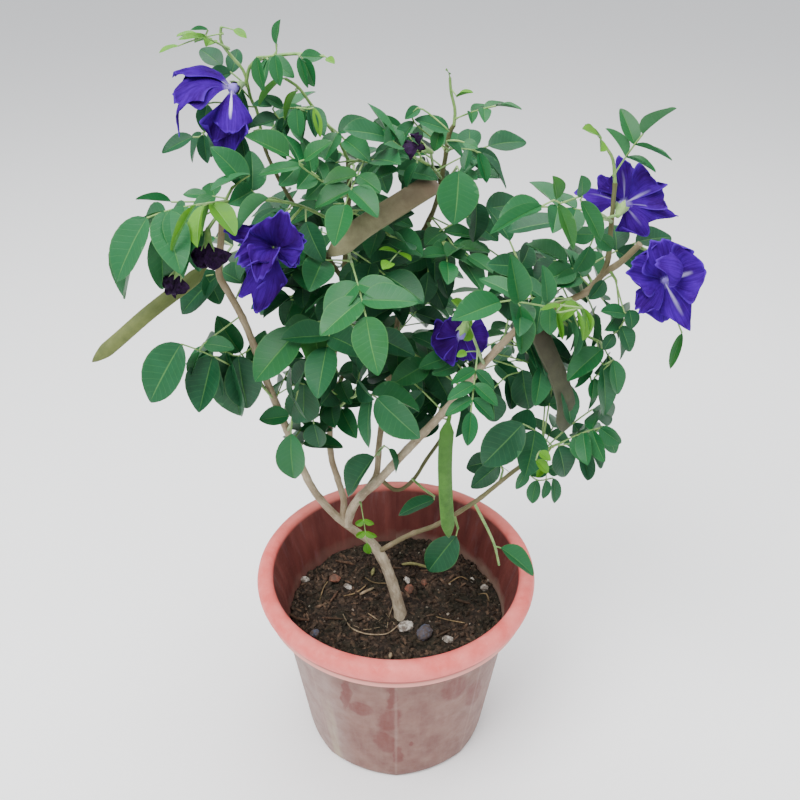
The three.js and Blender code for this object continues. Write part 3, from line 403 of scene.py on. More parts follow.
def plasticMaterial():
    # injection-moulded polypropylene, years old: chalky salmon with lime bloom and peeled film
    v = potValues
    material, tree, surface = newMaterial("agedPolypropylene")
    place = objectPlace(tree)
    parts = addNode(tree, "ShaderNodeSeparateXYZ", {0: place}).outputs
    around = maths(tree, "ARCTAN2", parts[0], product(tree, parts[1], -1.0))
    radius = maths(tree, "SQRT", maths(tree, "MULTIPLY_ADD", parts[0], parts[0],
                                       product(tree, parts[1], parts[1])))
    # the wall unrolled: the way round at the middle of the wall, and the height
    arc = product(tree, around, v["arcRadius"] * mm)
    height = parts[2]
    wallPlace = firstOf(tree, "ShaderNodeCombineXYZ", {0: arc, 1: height})
    streakPlace = firstOf(tree, "ShaderNodeMapping", {"Vector": wallPlace, "Scale": (1, 0.16, 1)})

    def level(name, first=0.0, last=1.0):
        low, high = v[name]
        return limits(tree, height, low * mm, high * mm, first, last)

    fine = grain(tree, place, 4, 5, 0.7)
    streaks = grain(tree, streakPlace, 9, 5, 0.62)
    broad = grain(tree, wallPlace, 34, 4, 0.55, 0.4)

    body = blend(tree, limits(tree, broad, 0.36, 0.64), "#6c463e", "#7d5a50")
    dust = grain(tree, wallPlace, 15, 6, 0.5)
    body = blend(tree, limits(tree, dust, 0.42, 0.7, 0, 0.5), body, "#8a6d63")
    body = blend(tree, limits(tree, streaks, 0.5, 0.75, 0, 0.3), body, "#957b70")
    # a pale haze covers the left of the front, a thinner one the right edge
    haze = maths(tree, "MAXIMUM", limits(tree, around, -0.62, -0.42, 1, 0),
                 limits(tree, around, 0.5, 1.0, 0, 0.4))
    haze = product(tree, haze, limits(tree, dust, 0.3, 0.6, 0.3, 0.75))
    body = blend(tree, haze, body, "#947f78")
    # water has left a yellowish streak that runs down to the foot
    drip = product(tree, limits(tree, maths(tree, "ABSOLUTE", maths(
        tree, "ADD", around, 0.68)), 0.03, 0.08, 0.4, 0), limits(tree, height, 0.06, 0.11, 1, 0))
    body = blend(tree, product(tree, drip, limits(tree, streaks, 0.35, 0.6)), body, "#b5ad8c")
    wobbly = addNode(tree, "ShaderNodeTexNoise", {
        "Vector": wallPlace, "Scale": 1 / (16 * mm), "Detail": 3.0}).outputs["Color"]
    sway = 12 * mm
    wobbly = firstOf(tree, "ShaderNodeVectorMath", {
        0: wobbly, 1: (sway, sway, 0), 2: wallPlace}, operation="MULTIPLY_ADD")
    bare = 0.0
    for degrees, middle, halfWide, halfHigh, lean in v["peeled"]:
        across = math.radians(degrees) * v["arcRadius"] * mm
        patch = firstOf(tree, "ShaderNodeMapping", {
            "Vector": wobbly, "Rotation": (0, 0, lean),
            "Scale": (halfWide * mm, halfHigh * mm, 1),
            "Location": (across + sway / 2, middle * mm + sway / 2, 0)}, vector_type="TEXTURE")
        reach = addNode(tree, "ShaderNodeVectorMath", {0: patch}, operation="LENGTH")
        bare = maths(tree, "MAXIMUM", bare, limits(tree, reach.outputs["Value"], 0.75, 1.05, 1, 0))
    bare = product(tree, bare, limits(tree, streaks, 0.35, 0.65, 0.85, 0.45))
    body = blend(tree, bare, body, "#642a25")
    # painted highlight: a pale line along each corner of the flats
    cornerHighlight = maths(tree, "PINGPONG", maths(tree, "ADD", around, 2 * math.pi), math.pi / v["sides"])
    body = blend(tree, limits(tree, cornerHighlight, 0, 0.02, 0.25, 0), body, "#a18c82")

    rimColour = blend(tree, limits(tree, grain(tree, place, 18, 4), 0.35, 0.7),
                      "#dc5f58", "#ec7d76")
    rimColour = blend(tree, limits(tree, fine, 0.55, 0.75, 0, 0.22), rimColour, "#f0aaa2")
    # painted shade: the back of the rim is darker and browner, where the plant shades it
    rimColour = blend(tree, limits(tree, parts[1], 0.02, 0.09, 0, 0.65), rimColour, "#96584c")
    bead = product(tree, level("beadStarts"), level("beadEnds", 1, 0))
    # painted shade: a darker band under the rim's edge, above the bead
    body = blend(tree, level("beadEnds"), body, "#b0524b")
    body = blend(tree, bead, body, "#dd978c")
    outside = blend(tree, level("rimStarts"), body, rimColour)

    inner = blend(tree, limits(tree, grain(tree, streakPlace, 12, 4), 0.3, 0.7),
                  "#5a2a27", "#7d423c")
    # a band of dried lime stands above the soil, and a blue-grey film on the left
    dried = limits(tree, maths(tree, "MULTIPLY_ADD", dust, 20 * mm, height), 0.148, 0.158, 0.75, 0)
    inner = blend(tree, product(tree, dried, limits(tree, around, -0.4, 0.5, 0.35, 1)),
                  inner, "#8c7668")
    inner = blend(tree, limits(tree, streaks, 0.55, 0.75, 0, 0.35), inner, "#8a7478")
    lean = (v["neckRadius"] - v["footRadius"]) / v["neckHeight"]
    wallRadius = maths(tree, "MULTIPLY_ADD", height, lean, (v["footRadius"] - v["innerShift"]) * mm)
    # behind the rim the wall leans out
    behindRim = maths(tree, "GREATER_THAN", height, v["behindRim"] * mm)
    wallRadius = maths(tree, "MULTIPLY_ADD", behindRim, v["rimLean"] * mm, wallRadius)
    isInner = product(tree, maths(tree, "LESS_THAN", radius, wallRadius), level("innerEnds", 1, 0))
    whole = blend(tree, isInner, outside, inner)
    coat(tree, surface, whole, limits(tree, fine, 0.3, 0.7, 0.5, 0.68), 0.4, IOR=1.49)
    soft = bump(tree, surface, grain(tree, place, 1.2, 4, 0.6), 0.25, 0.5)
    bump(tree, surface, streaks, 0.4, 0.35, soft)
    return material


def makePot():
    v = potValues
    half = v["flatDepth"]
    rim, neck, top = v["rimRadius"], v["neckHeight"], v["height"]
    profile = [
        (v["restRadius"], 0, 0, 0), (v["restRadius"] + 4, 0.2, half, 1),
        (v["footRadius"] - 4, 0, half, v["footArch"]),
        (v["footRadius"] - 1.2, 0.5, half, v["footArch"]),
        (v["footRadius"], 2.4, half, v["footArch"]),
    ]
    for z in v["wallHeights"]:
        share = max(0, (z - v["flatsFadeFrom"]) / (neck - v["flatsFadeFrom"]))
        arch = v["footArch"] * max(0, 1 - z / v["archFadesAt"])
        profile.append((outerRadius(z), z, half * (1 - 0.6 * share), arch))
    profile.append((v["neckRadius"] + 0.6, neck + 0.2, 0.1, 0))
    profile += [(rim - inward, neck + up, 0, 0) for inward, up in v["flare"]]
    profile += [(rim - inward, top - down, 0, 0) for inward, down in v["lip"]]
    profile += [
        (rim - v["rimWidth"], top - 5, 0, 0), (rim - v["rimWidth"] - 1.5, top - 12, 0, 0),
        (innerRadius(170) + 1.5, 170, 0, 0)]
    profile += [(innerRadius(z), z, 0, 0) for z in (*v["insideHeights"], v["wall"])]
    turns = [-math.pi / 2 + 2 * math.pi * k / v["segments"] for k in range(v["segments"])]
    points = [potPlace(*ring, turn) for ring in profile for turn in turns]
    pot = meshObject("moulded_pot", points, cappedFaces(len(profile), v["segments"]),
                     [plasticMaterial()])

    cutters = []
    for k in range(v["drains"]):
        turn = 2 * math.pi * (k + 0.5) / v["drains"]
        middle = np.array([v["drainRing"] * math.cos(turn), v["drainRing"] * math.sin(turn), 0])
        ring = [(v["drainRadius"] * math.cos(a), v["drainRadius"] * math.sin(a))
                for a in np.linspace(0, 2 * math.pi, v["drainCorners"], endpoint=False)]
        holePoints = [middle + np.array([x, y, z]) for z in (-5, 12) for x, y in ring]
        cutters.append(meshObject(f"hole{k}", holePoints, cappedFaces(2, v["drainCorners"]), []))
    for cutter in cutters:
        cut = pot.modifiers.new(cutter.name, "BOOLEAN")
        cut.object = cutter
        cut.operation = "DIFFERENCE"
    flatten(pot)
    for cutter in cutters:
        bpy.data.objects.remove(cutter)
    smoothMesh(pot, 35)
    return keep(pot, "pot_plastic", "pot")


makePot()
print("pot made")


soilValues = {
    "top": 134, "relief": 3.2, "gap": 0.3, "rings": 70, "spokes": 150, "seed": 11,
    "inset": 0.6, "rough": 1.6, "roughSize": 9, "sinkAt": (5, -12), "sinkDepth": 4,
    "edgeDepth": 9, "draft": 0.97, "floorShare": 0.8,
    "mix": ("pottingMix", "#120e0b", "#3a2e25", 5),
    # strewn bits: how many on a square millimetre, the shares of their size, how far they tilt,
    # the half sizes of their first shape and what each next one adds
    "strewn": {
        "soil_crumbs": {
            "bit": "crumb", "density": 0.06, "shares": (0.5, 1.7), "tilt": 3.0, "shapes": 5,
            "seed": 0, "halves": (1.5, 1.2, 0.9), "added": (0.5, 0.35, 0.25), "rough": 0.3,
            "stuff": ("mixCrumbs", "#120e0b", "#574639", 4)},
        "soil_chips": {
            "bit": "chip", "density": 0.011, "shares": (0.5, 1.5), "tilt": 0.35, "shapes": 3,
            "seed": 20, "halves": (4.5, 1.5, 0.8), "added": (1, 0, 0), "rough": 0.25,
            "stuff": ("barkChips", "#24170f", "#725a48", 6)},
        "soil_grit": {
            "bit": "grit", "density": 0.0022, "shares": (0.4, 1.3), "tilt": 3.0, "shapes": 3,
            "seed": 40, "halves": (1.7, 1.4, 1.1), "added": (0, 0, 0), "rough": 0.2,
            "stuff": ("paleGrit", "#776a5c", "#b3a898", 2)},
    },
    # roots, straws and sticks on the soil: thickness, colours, columns and rows
    "litter": [
        (0.75, "root", [(343, 616), (350, 628), (362, 635), (376, 638), (388, 637), (399, 628)]),
        (0.5, "root", [(354, 627), (365, 632), (380, 631)]),
        (0.5, "root", [(368, 615), (378, 623)]),
        (0.6, "root", [(393, 609), (389, 620), (387, 632)]),
        (0.5, "root", [(386, 616), (396, 630)]),
        (0.5, "root", [(377, 627), (384, 620), (394, 626)]),
        (0.6, "straw", [(436, 619), (450, 621), (465, 624)]),
        (0.7, "straw", [(478, 596), (486, 596), (489, 604)]),
        (0.8, "straw", [(344, 599), (356, 594), (366, 588)]),
        (1.7, "root", [(360, 596), (367, 593), (374, 591)]),
        (0.9, "straw", [(363, 580), (374, 586), (389, 586)]),
        (2.0, "leaf", [(402, 567), (413, 566), (428, 570)]),
        (2.2, "leaf", [(372, 580), (374, 573)]),
        (1.5, "bark", [(289, 615), (297, 621), (309, 624)]),
        (1.7, "bark", [(336, 563), (347, 566), (355, 569)]),
        (1.2, "bark", [(322, 621), (343, 621)]), (1.6, "bark", [(455, 602), (470, 607)]),
        (1.3, "bark", [(330, 606), (338, 595)]), (1.5, "bark", [(436, 640), (450, 634)]),
        (0.6, "straw", [(320, 602), (324, 590), (328, 583)]),
        (0.6, "straw", [(448, 586), (460, 579), (468, 582)]),
        (2.4, "root", [(390, 660), (391, 656)])],
    "litterColours": {"root": ("#7d6a52", "#b09c80"), "straw": ("#6e5a40", "#9c8460"),
                      "bark": ("#35251c", "#6b4f3e"), "leaf": ("#6a6a42", "#8f8a5c")},
}


def soilHeight(x, y):
    v = soilValues
    waves = math.sin(x / 13 + 0.6) * math.cos(y / 17) + 0.6 * math.sin((x + y) / 9)
    aside, near = x - v["sinkAt"][0], y - v["sinkAt"][1]
    sink = v["sinkDepth"] * math.exp(-(aside ** 2 + near ** 2) / 900)
    return v["top"] + v["relief"] * 0.6 * waves + sink * 0.6


def soilMaterial(name, dark, pale, size):
    # potting mix: damp coconut fibre and bark dust, nearly black with paler specks
    material, tree, surface = newMaterial(name)
    place = objectPlace(tree)
    lumps = grain(tree, place, size, 6, 0.7)
    body = blend(tree, limits(tree, lumps, 0.36, 0.68), dark, pale)
    film = limits(tree, grain(tree, place, 26, 4), 0.46, 0.6, 0, 0.55)
    body = blend(tree, film, body, "#171c12")
    specks = limits(tree, grain(tree, place, 1.6, 3, 0.7), 0.64, 0.7)
    body = blend(tree, product(tree, specks, 0.6), body, "#8d7c6a")
    coat(tree, surface, body, 0.88, 0.25)
    bump(tree, surface, lumps, 1.2, 0.9)
    return material


def makeSoil():
    v = soilValues
    edge = innerRadius(v["top"]) - v["gap"] - v["inset"]
    turns = [2 * math.pi * j / v["spokes"] for j in range(v["spokes"])]
    points = [(0, 0, soilHeight(0, 0))]
    for k in range(1, v["rings"] + 1):
        radius = edge * k / v["rings"]
        for turn in turns:
            x, y = radius * math.cos(turn), radius * math.sin(turn)
            lump = Vector((x / v["roughSize"], y / v["roughSize"], 0.3))
            rough = v["rough"] * noise.fractal(lump, 0.9, 2.2, 4)
            points.append((x, y, soilHeight(x, y) + rough * min(1, (edge - radius) / 3 + 0.3)))
    points += [(v["draft"] * radius * math.cos(turn), v["draft"] * radius * math.sin(turn), z)
               for radius, z in ((edge, v["top"] - v["edgeDepth"]),
                                 (edge * v["floorShare"], potValues["wall"] + 0.5))
               for turn in turns]
    faces = [(0, 1 + j, 1 + (j + 1) % v["spokes"]) for j in range(v["spokes"])]
    for row in range(v["rings"] + 1):
        for j in range(v["spokes"]):
            a, b = 1 + row * v["spokes"] + j, 1 + row * v["spokes"] + (j + 1) % v["spokes"]
            faces.append((a, a + v["spokes"], b + v["spokes"], b))
    last = 1 + (v["rings"] + 1) * v["spokes"]
    faces.append(tuple(reversed(range(last, last + v["spokes"]))))
    return meshObject("potting_mix", points, faces, [soilMaterial(*v["mix"])])


def onSoil(column, row, lift):
    # where the view through a column and a row meets the soil
    eye = np.array(view["eye"])
    ray = seen((column, row, 0)) - eye
    x, y, _ = eye + ray * (soilValues["top"] - eye[2]) / ray[2]
    return np.array([x, y, soilHeight(x, y) + lift])


def lumpMesh(name, halves, seed, rough=0.25, corners=1):
    # a knobbly bit with a few dozen faces
    shape = bmesh.new()
    bmesh.ops.create_icosphere(shape, subdivisions=corners, radius=1)
    draws = random.Random(seed)
    for vert in shape.verts:
        vert.co *= 1 + draws.uniform(-rough, rough)
        vert.co = Vector([c * h * mm for c, h in zip(vert.co, halves)])
    mesh = bpy.data.meshes.new(name)
    shape.to_mesh(mesh)
    shape.free()
    return bpy.data.objects.new(name, mesh)


def makeSet(name, members):
    collection = bpy.data.collections.new(name)
    for member in members:
        collection.objects.link(member)
    return collection


def scatterTree():
    # bits strewn over a surface: density per square metre, and sizes as shares of the bit's own
    tree, start = newTree("strewnBits", [
        ("Bits", "NodeSocketCollection", None), ("Density", "NodeSocketFloat", 0.01),
        ("Smallest", "NodeSocketFloat", 0.6), ("Largest", "NodeSocketFloat", 1.4),
        ("Tilt", "NodeSocketFloat", 3.0), ("Seed", "NodeSocketInt", 1),
        ("Material", "NodeSocketMaterial", None)])
    spread = firstOf(tree, "GeometryNodeDistributePointsOnFaces", {
        "Mesh": start["Geometry"], "Density": start["Density"], "Seed": start["Seed"]})
    bits = firstOf(tree, "GeometryNodeCollectionInfo", {
        "Collection": start["Bits"], "Separate Children": True, "Reset Children": True})
    halfTurn = 3.14
    turn = firstOf(tree, "FunctionNodeRandomValue", {
        0: (-halfTurn,) * 3, 1: (halfTurn,) * 3, "Seed": start["Seed"]}, data_type="FLOAT_VECTOR")
    parts = addNode(tree, "ShaderNodeSeparateXYZ", {0: turn}).outputs
    share = maths(tree, "DIVIDE", start["Tilt"], halfTurn)
    lean = firstOf(tree, "ShaderNodeCombineXYZ", {
        0: product(tree, parts[0], share), 1: product(tree, parts[1], share), 2: parts[2]})
    size = addNode(tree, "FunctionNodeRandomValue", {
        2: start["Smallest"], 3: start["Largest"], "Seed": start["Seed"]}, data_type="FLOAT")
    strewn = firstOf(tree, "GeometryNodeInstanceOnPoints", {
        "Points": spread, "Instance": bits, "Pick Instance": True, "Scale": size.outputs[1],
        "Rotation": firstOf(tree, "FunctionNodeEulerToRotation", {0: lean})})
    return endTree(tree, strewn, start["Material"])


def strew(name, bed, tree, number):
    v = soilValues["strewn"][name]
    bits = makeSet(v["bit"] + "Bits", [
        lumpMesh(f"{v['bit']}{k}", [h + a * k for h, a in zip(v["halves"], v["added"])],
                 v["seed"] + k, v["rough"]) for k in range(v["shapes"])])
    piece = placed(bpy.data.objects.new(name, bed.data.copy()))
    piece.data.materials.clear()
    growWith(piece, tree, Bits=bits, Density=v["density"] / mm ** 2, Smallest=v["shares"][0],
             Largest=v["shares"][1], Tilt=v["tilt"], Seed=soilValues["seed"] + number,
             Material=soilMaterial(*v["stuff"]))
    flatten(piece)
    smoothMesh(piece, 50)
    return keep(piece, "soil")


def topOf(bed):
    # the upper face of the bed alone, for what lies on it
    points = [v.co / mm for v in bed.data.vertices]
    count = 1 + soilValues["rings"] * soilValues["spokes"]
    faces = [tuple(p.vertices) for p in bed.data.polygons if max(p.vertices) < count]
    return meshObject("bedTop", points[:count], faces, [])


bed = makeSoil()
strewn = scatterTree()
surfaceOfBed = topOf(bed)
for number, bitName in enumerate(soilValues["strewn"]):
    strew(bitName, surfaceOfBed, strewn, number)
bpy.data.objects.remove(surfaceOfBed)
keep(bed, "soil", "soil")
print("soil made")


woodValues = {
    "cadStep": 24, "step": 4, "fineStep": 6, "corners": 14, "knobs": 0.9, "knobSize": 6.0,
    # a swelling where a leaf once stood, and the trunk's wide foot
    "nodeGaps": (24, 30), "nodeSwell": 0.35, "nodeReach": 3, "footSwell": 1.6, "footReach": 7,
    "sunk": 30, "collar": 1.15,
    "branches": {
        "trunk": (5.7, 4.9, [
            (402, 640, -12), (401, 617, -10), (392, 582, -7), (381, 556, -1), (371, 542, 6)]),
        "left": (3.7, 2.3, [
            (371, 542, 6), (342, 521, 4), (322, 501, -2), (307, 478, -8), (285, 425, -20),
            (268, 384, -30), (251, 338, -40), (240, 313, -44), (226, 288, -48),
            (219, 273, -50), (221, 238, -52), (222, 207, -54)]),
        "middle": (3.1, 1.6, [
            (342, 521, 4), (344, 501, 8), (338, 480, 12), (331, 455, 14), (330, 420, 18),
            (332, 380, 20), (337, 330, 22), (343, 280, 20), (347, 230, 15), (349, 190, 10),
            (348, 160, 5)]),
        "right": (4.2, 2.2, [
            (347, 524, 5), (352, 509, 2), (362, 495, -2), (379, 480, -10), (405, 452, -20),
            (451, 404, -35), (480, 368, -42), (512, 334, -50), (535, 314, -52),
            (583, 294, -50), (603, 274, -48), (621, 262, -52), (640, 244, -58)]),
        "rightTop": (2.0, 1.5, [
            (603, 273, -48), (608, 259, -47), (612, 216, -45), (615, 183, -42)]),
        "centre": (3.0, 1.6, [
            (362, 495, -2), (376, 475, 12), (379, 445, 20), (385, 400, 30), (395, 340, 40),
            (405, 270, 40), (415, 245, 36), (426, 226, 30), (436, 203, 25), (444, 165, 20),
            (449, 135, 15), (454, 125, 12)]),
        "lowRight": (2.4, 1.7, [
            (378, 552, 0), (409, 535, -5), (436, 525, -15), (473, 503, -30),
            (494, 487, -38), (514, 471, -45), (541, 453, -52)]),
        "thinRight": (2.0, 1.3, [
            (376, 475, 12), (396, 490, 14), (413, 480, 16), (426, 460, 20), (441, 438, 25),
            (452, 410, 28), (465, 380, 30)]),
        "topLeft": (1.9, 1.3, [
            (343, 280, 20), (310, 230, 30), (285, 190, 25), (270, 161, 15), (263, 142, 8)]),
        "back": (2.2, 1.4, [
            (332, 400, 19), (345, 372, 48), (362, 352, 74), (384, 322, 92)]),
    },
}


def branchLines(step):
    return [evenRoute([seen(p) for p in route], step)
            for _, _, route in woodValues["branches"].values()]


def storeLayer(tree, geometry, name, value):
    return firstOf(tree, "GeometryNodeStoreNamedAttribute", {
        0: geometry, "Name": name, "Value": value}, data_type="FLOAT", domain="POINT")


def tubeTree():
    # a round, knobbly tube along each line, which holds the way along it, its radius and the
    # way round it
    tree, start = newTree("barkedTubes", [
        ("Corners", "NodeSocketInt", 12), ("Knobs", "NodeSocketFloat", 0.3),
        ("KnobSize", "NodeSocketFloat", 8.0), ("Material", "NodeSocketMaterial", None)])
    profile = firstOf(tree, "GeometryNodeCurvePrimitiveCircle", {
        "Resolution": start["Corners"], "Radius": 1.0})
    thickness = firstOf(tree, "GeometryNodeInputRadius")
    alongLine = addNode(tree, "GeometryNodeSplineParameter").outputs["Length"]
    roundLine = addNode(tree, "GeometryNodeSplineParameter").outputs["Factor"]
    lines = storeLayer(tree, start["Geometry"], "alongTube", alongLine)
    lines = storeLayer(tree, lines, "thickTube", thickness)
    rounds = storeLayer(tree, profile, "roundTube", roundLine)
    tube = firstOf(tree, "GeometryNodeCurveToMesh", {
        0: lines, 1: rounds, "Scale": thickness, "Fill Caps": True})
    wobble = addNode(tree, "ShaderNodeTexNoise", {
        "Scale": maths(tree, "DIVIDE", 1 / mm, start["KnobSize"]), "Detail": 2.0}).outputs["Fac"]
    height = product(tree, maths(tree, "SUBTRACT", wobble, 0.5), start["Knobs"])
    push = firstOf(tree, "ShaderNodeVectorMath", {
        0: firstOf(tree, "GeometryNodeInputNormal"), "Scale": product(tree, height, mm)},
        operation="SCALE")
    moved = firstOf(tree, "GeometryNodeSetPosition", {0: tube, "Offset": push})
    smooth = firstOf(tree, "GeometryNodeSetShadeSmooth", {0: moved})
    return endTree(tree, smooth, start["Material"])


def lineObject(name, lines):
    # lines of points, each with its radii, all in millimetres
    curve = bpy.data.curves.new(name, "CURVE")
    curve.dimensions = "3D"
    for points, radii in lines:
        spline = curve.splines.new("POLY")
        spline.points.add(len(points) - 1)
        spline.points.foreach_set("co", [c for p in points for c in (*(p * mm), 1.0)])
        spline.points.foreach_set("radius", [r * mm for r in radii])
    return placed(bpy.data.objects.new(name, curve))


def barkMaterial():
    # thin smooth bark on young wood: grey brown, furrowed lengthwise, with pale lenticels
    material, tree, surface = newMaterial("thinGreyBark")
    place = objectPlace(tree)
    along = attribute(tree, "alongTube")
    around = attribute(tree, "roundTube")
    sheetPlace = firstOf(tree, "ShaderNodeCombineXYZ", {
        0: product(tree, along, 0.22), 1: product(tree, around, 26 * mm)})
    furrows = grain(tree, sheetPlace, 1.6, 4, 0.65)
    patches = grain(tree, place, 14, 3)
    body = blend(tree, limits(tree, patches, 0.35, 0.65), "#9c8e78", "#c6b9a0")
    body = blend(tree, limits(tree, furrows, 0.35, 0.6, 0.5, 0), body, "#6f604c")
    dots = limits(tree, grain(tree, place, 2.2, 2, 0.5), 0.63, 0.68)
    body = blend(tree, product(tree, dots, 0.5), body, "#cdbfa4")
    # thinner wood is browner, and the youngest is green
    thick = attribute(tree, "thickTube")
    slim = limits(tree, thick, 2.3 * mm, 4.3 * mm, 0.75, 0)
    body = blend(tree, slim, body, "#7d6a4a")
    young = limits(tree, thick, 1.7 * mm, 2.7 * mm, 0.8, 0)
    body = blend(tree, young, body, "#4c5630")
    coat(tree, surface, body, 0.75, 0.3)
    soft = bump(tree, surface, furrows, 0.5, 0.8)
    bump(tree, surface, grain(tree, place, 0.8, 3), 0.15, 0.6, soft)
    return material


woodLines = branchLines(woodValues["cadStep"])
tubes = tubeTree()
bark = barkMaterial()


def makeWood():
    v = woodValues
    lines = []
    for name, (foot, top, route) in v["branches"].items():
        points = evenRoute([seen(p) for p in route], v["step"])
        count = len(points)
        draws = random.Random(name)
        radii = []
        nodeGap = draws.uniform(*v["nodeGaps"])
        for k in range(count):
            radius = foot + (top - foot) * k / (count - 1)
            fromNode = ((k * v["step"]) % nodeGap - nodeGap / 2) / v["nodeReach"]
            radius += v["nodeSwell"] * math.exp(-fromNode ** 2) * min(1, radius / 3)
            if k == 0 and name != "trunk":
                radius *= v["collar"]
            radii.append(radius)
        if name == "trunk":
            # the trunk widens where it goes into the soil
            for k in range(count):
                sunk = seen(route[0])[2] + v["sunk"]
                radii[k] += v["footSwell"] * math.exp(-max(0, points[k][2] - sunk) / v["footReach"])
            radii[-1] *= 0.9
        lines.append((points, radii))
    wood = lineObject("woodLines", lines)
    growWith(wood, tubes, Corners=v["corners"], Knobs=v["knobs"], KnobSize=v["knobSize"],
             Material=bark)
    return keep(flatten(wood, "branches"), "bark", "wood")


makeWood()
print("wood made")


def makeLitter():
    # one piece for each kind of strand that lies on the soil
    for kind, colours in soilValues["litterColours"].items():
        lines = []
        for thick, of, route in soilValues["litter"]:
            if of == kind:
                points = evenRoute([onSoil(*place, 2.2 + thick) for place in route], 3)
                last = len(points) - 1
                lines.append((points, [thick * (0.45 + 0.9 * (k / last * (1 - k / last)) ** 0.5)
                                       for k in range(last + 1)]))
        litter = lineObject("litterLines", lines)
        growWith(litter, tubes, Corners=7, Knobs=1.2, KnobSize=4.0,
                 Material=soilMaterial(kind + "Litter", *colours, 5))
        keep(flatten(litter, "soil_" + kind), "soil")


makeLitter()
print("litter made")


podValues = {
    # the neck is the share of the length that is a stalk
    "step": 3, "corners": 20, "flat": 0.4, "neck": 0.12, "neckHalf": 1.2, "seedRise": 0.7,
    "seamRise": 0.7, "seamAt": 0.93,
    "pod_olive": {"half": 5.4, "seeds": 10, "colours": ("#465028", "#626a38", "#4f5e2e"), "route": [
        (219, 258, -51), (206, 266, -52), (190, 281, -54), (150, 312, -61),
        (118, 340, -67), (92, 362, -72)]},
    "pod_tan": {"half": 8.2, "seeds": 9, "colours": ("#5c5a40", "#7c7858", "#7c6052"), "route": [
        (440, 186, 22), (434, 184, 4), (424, 189, -12), (395, 207, -28), (362, 228, -42),
        (340, 246, -50), (327, 256, -54)]},
    "pod_brown": {"half": 7.2, "seeds": 9, "colours": ("#2c3020", "#43472f", "#3a3226"), "route": [
        (534, 314, -52), (537, 325, -62), (545, 346, -66), (557, 374, -68),
        (566, 404, -68), (563, 432, -64)]},
    "pod_green": {"half": 5.9, "seeds": 8, "colours": ("#2c5218", "#4a7a2c", "#3c6a24"), "route": [
        (452, 404, -35), (450, 414, -42), (447, 430, -46), (445, 462, -48),
        (446, 500, -48), (449, 538, -47)]},
}


def podMaterial(name, dark, pale, foot):
    # a leathery legume pod: finely downy, mottled, with slanting veins
    material, tree, surface = newMaterial(name)
    place = objectPlace(tree)
    across = attribute(tree, "podAcross")
    mottled = grain(tree, place, 7, 5, 0.65)
    body = blend(tree, limits(tree, mottled, 0.25, 0.75), dark, pale)
    # it ripens from the stalk on
    ripe = limits(tree, attribute(tree, "podAlong"), 0.1, 0.7, 0.8, 0)
    body = blend(tree, ripe, body, foot)
    specks = limits(tree, grain(tree, place, 1.3, 3, 0.6), 0.6, 0.68)
    body = blend(tree, product(tree, specks, 0.35), body, dark)
    edge = limits(tree, maths(tree, "ABSOLUTE", across), 0.8, 0.95, 0, 0.6)
    body = blend(tree, edge, body, pale)
    coat(tree, surface, body, 0.62, 0.25, **{"Sheen Weight": 0.1, "Sheen Roughness": 0.5})
    bump(tree, surface, grain(tree, place, 1.4, 4), 0.2, 0.7)
    return material


def makePod(name):
    v = podValues[name]
    face = facing((0.1, 0.1, 1))
    points = evenRoute(rooted([seen(p) for p in v["route"]], woodLines), podValues["step"])
    count, corners = len(points), podValues["corners"]
    made, across, alongPod = [], [], []
    for k, middle in enumerate(points):
        along = k / (count - 1)
        tangent = unit(points[min(k + 1, count - 1)] - points[max(k - 1, 0)])
        first = unit(np.cross(face, tangent))
        second = unit(np.cross(tangent, first))
        if along < podValues["neck"]:
            half = podValues["neckHalf"] + along * 6
        else:
            half = v["half"] * min(1, (along - 0.08) / 0.1, 0.06 + ((1 - along) / 0.12) ** 0.7)
        seedWave = math.cos(2 * math.pi * (along - 0.14) / 0.76 * v["seeds"])
        bulge = 0.5 * (1 - seedWave) * (0.2 < along < 0.9)
        for j in range(corners):
            turn = 2 * math.pi * j / corners
            side = math.cos(turn)
            # the valves are flat, with a raised seam along each edge and a bulge over each seed
            fromSeam = (abs(side) - podValues["seamAt"]) / 0.06
            seam = 1 + podValues["seamRise"] * math.exp(-fromSeam ** 2) * (half > 3)
            depth = half * podValues["flat"] * math.sin(turn) * seam
            rise = podValues["seedRise"] * bulge * max(0, 1 - (side / 0.6) ** 2)
            depth += math.copysign(rise, math.sin(turn))
            made.append(middle + first * half * side + second * depth)
            across.append(side)
            alongPod.append(along)
    pod = meshObject(name.replace("pod_", "seed_pod_"), made, cappedFaces(count, corners),
                     [podMaterial(name + "Valve", *v["colours"])])
    setLayer(pod, "podAcross", across)
    setLayer(pod, "podAlong", alongPod)
    slot = {"pod_brown": "pod_tan"}.get(name, name)
    return keep(pod, slot, name)


for podName in ("pod_olive", "pod_tan", "pod_brown", "pod_green"):
    makePod(podName)
print("pods made")


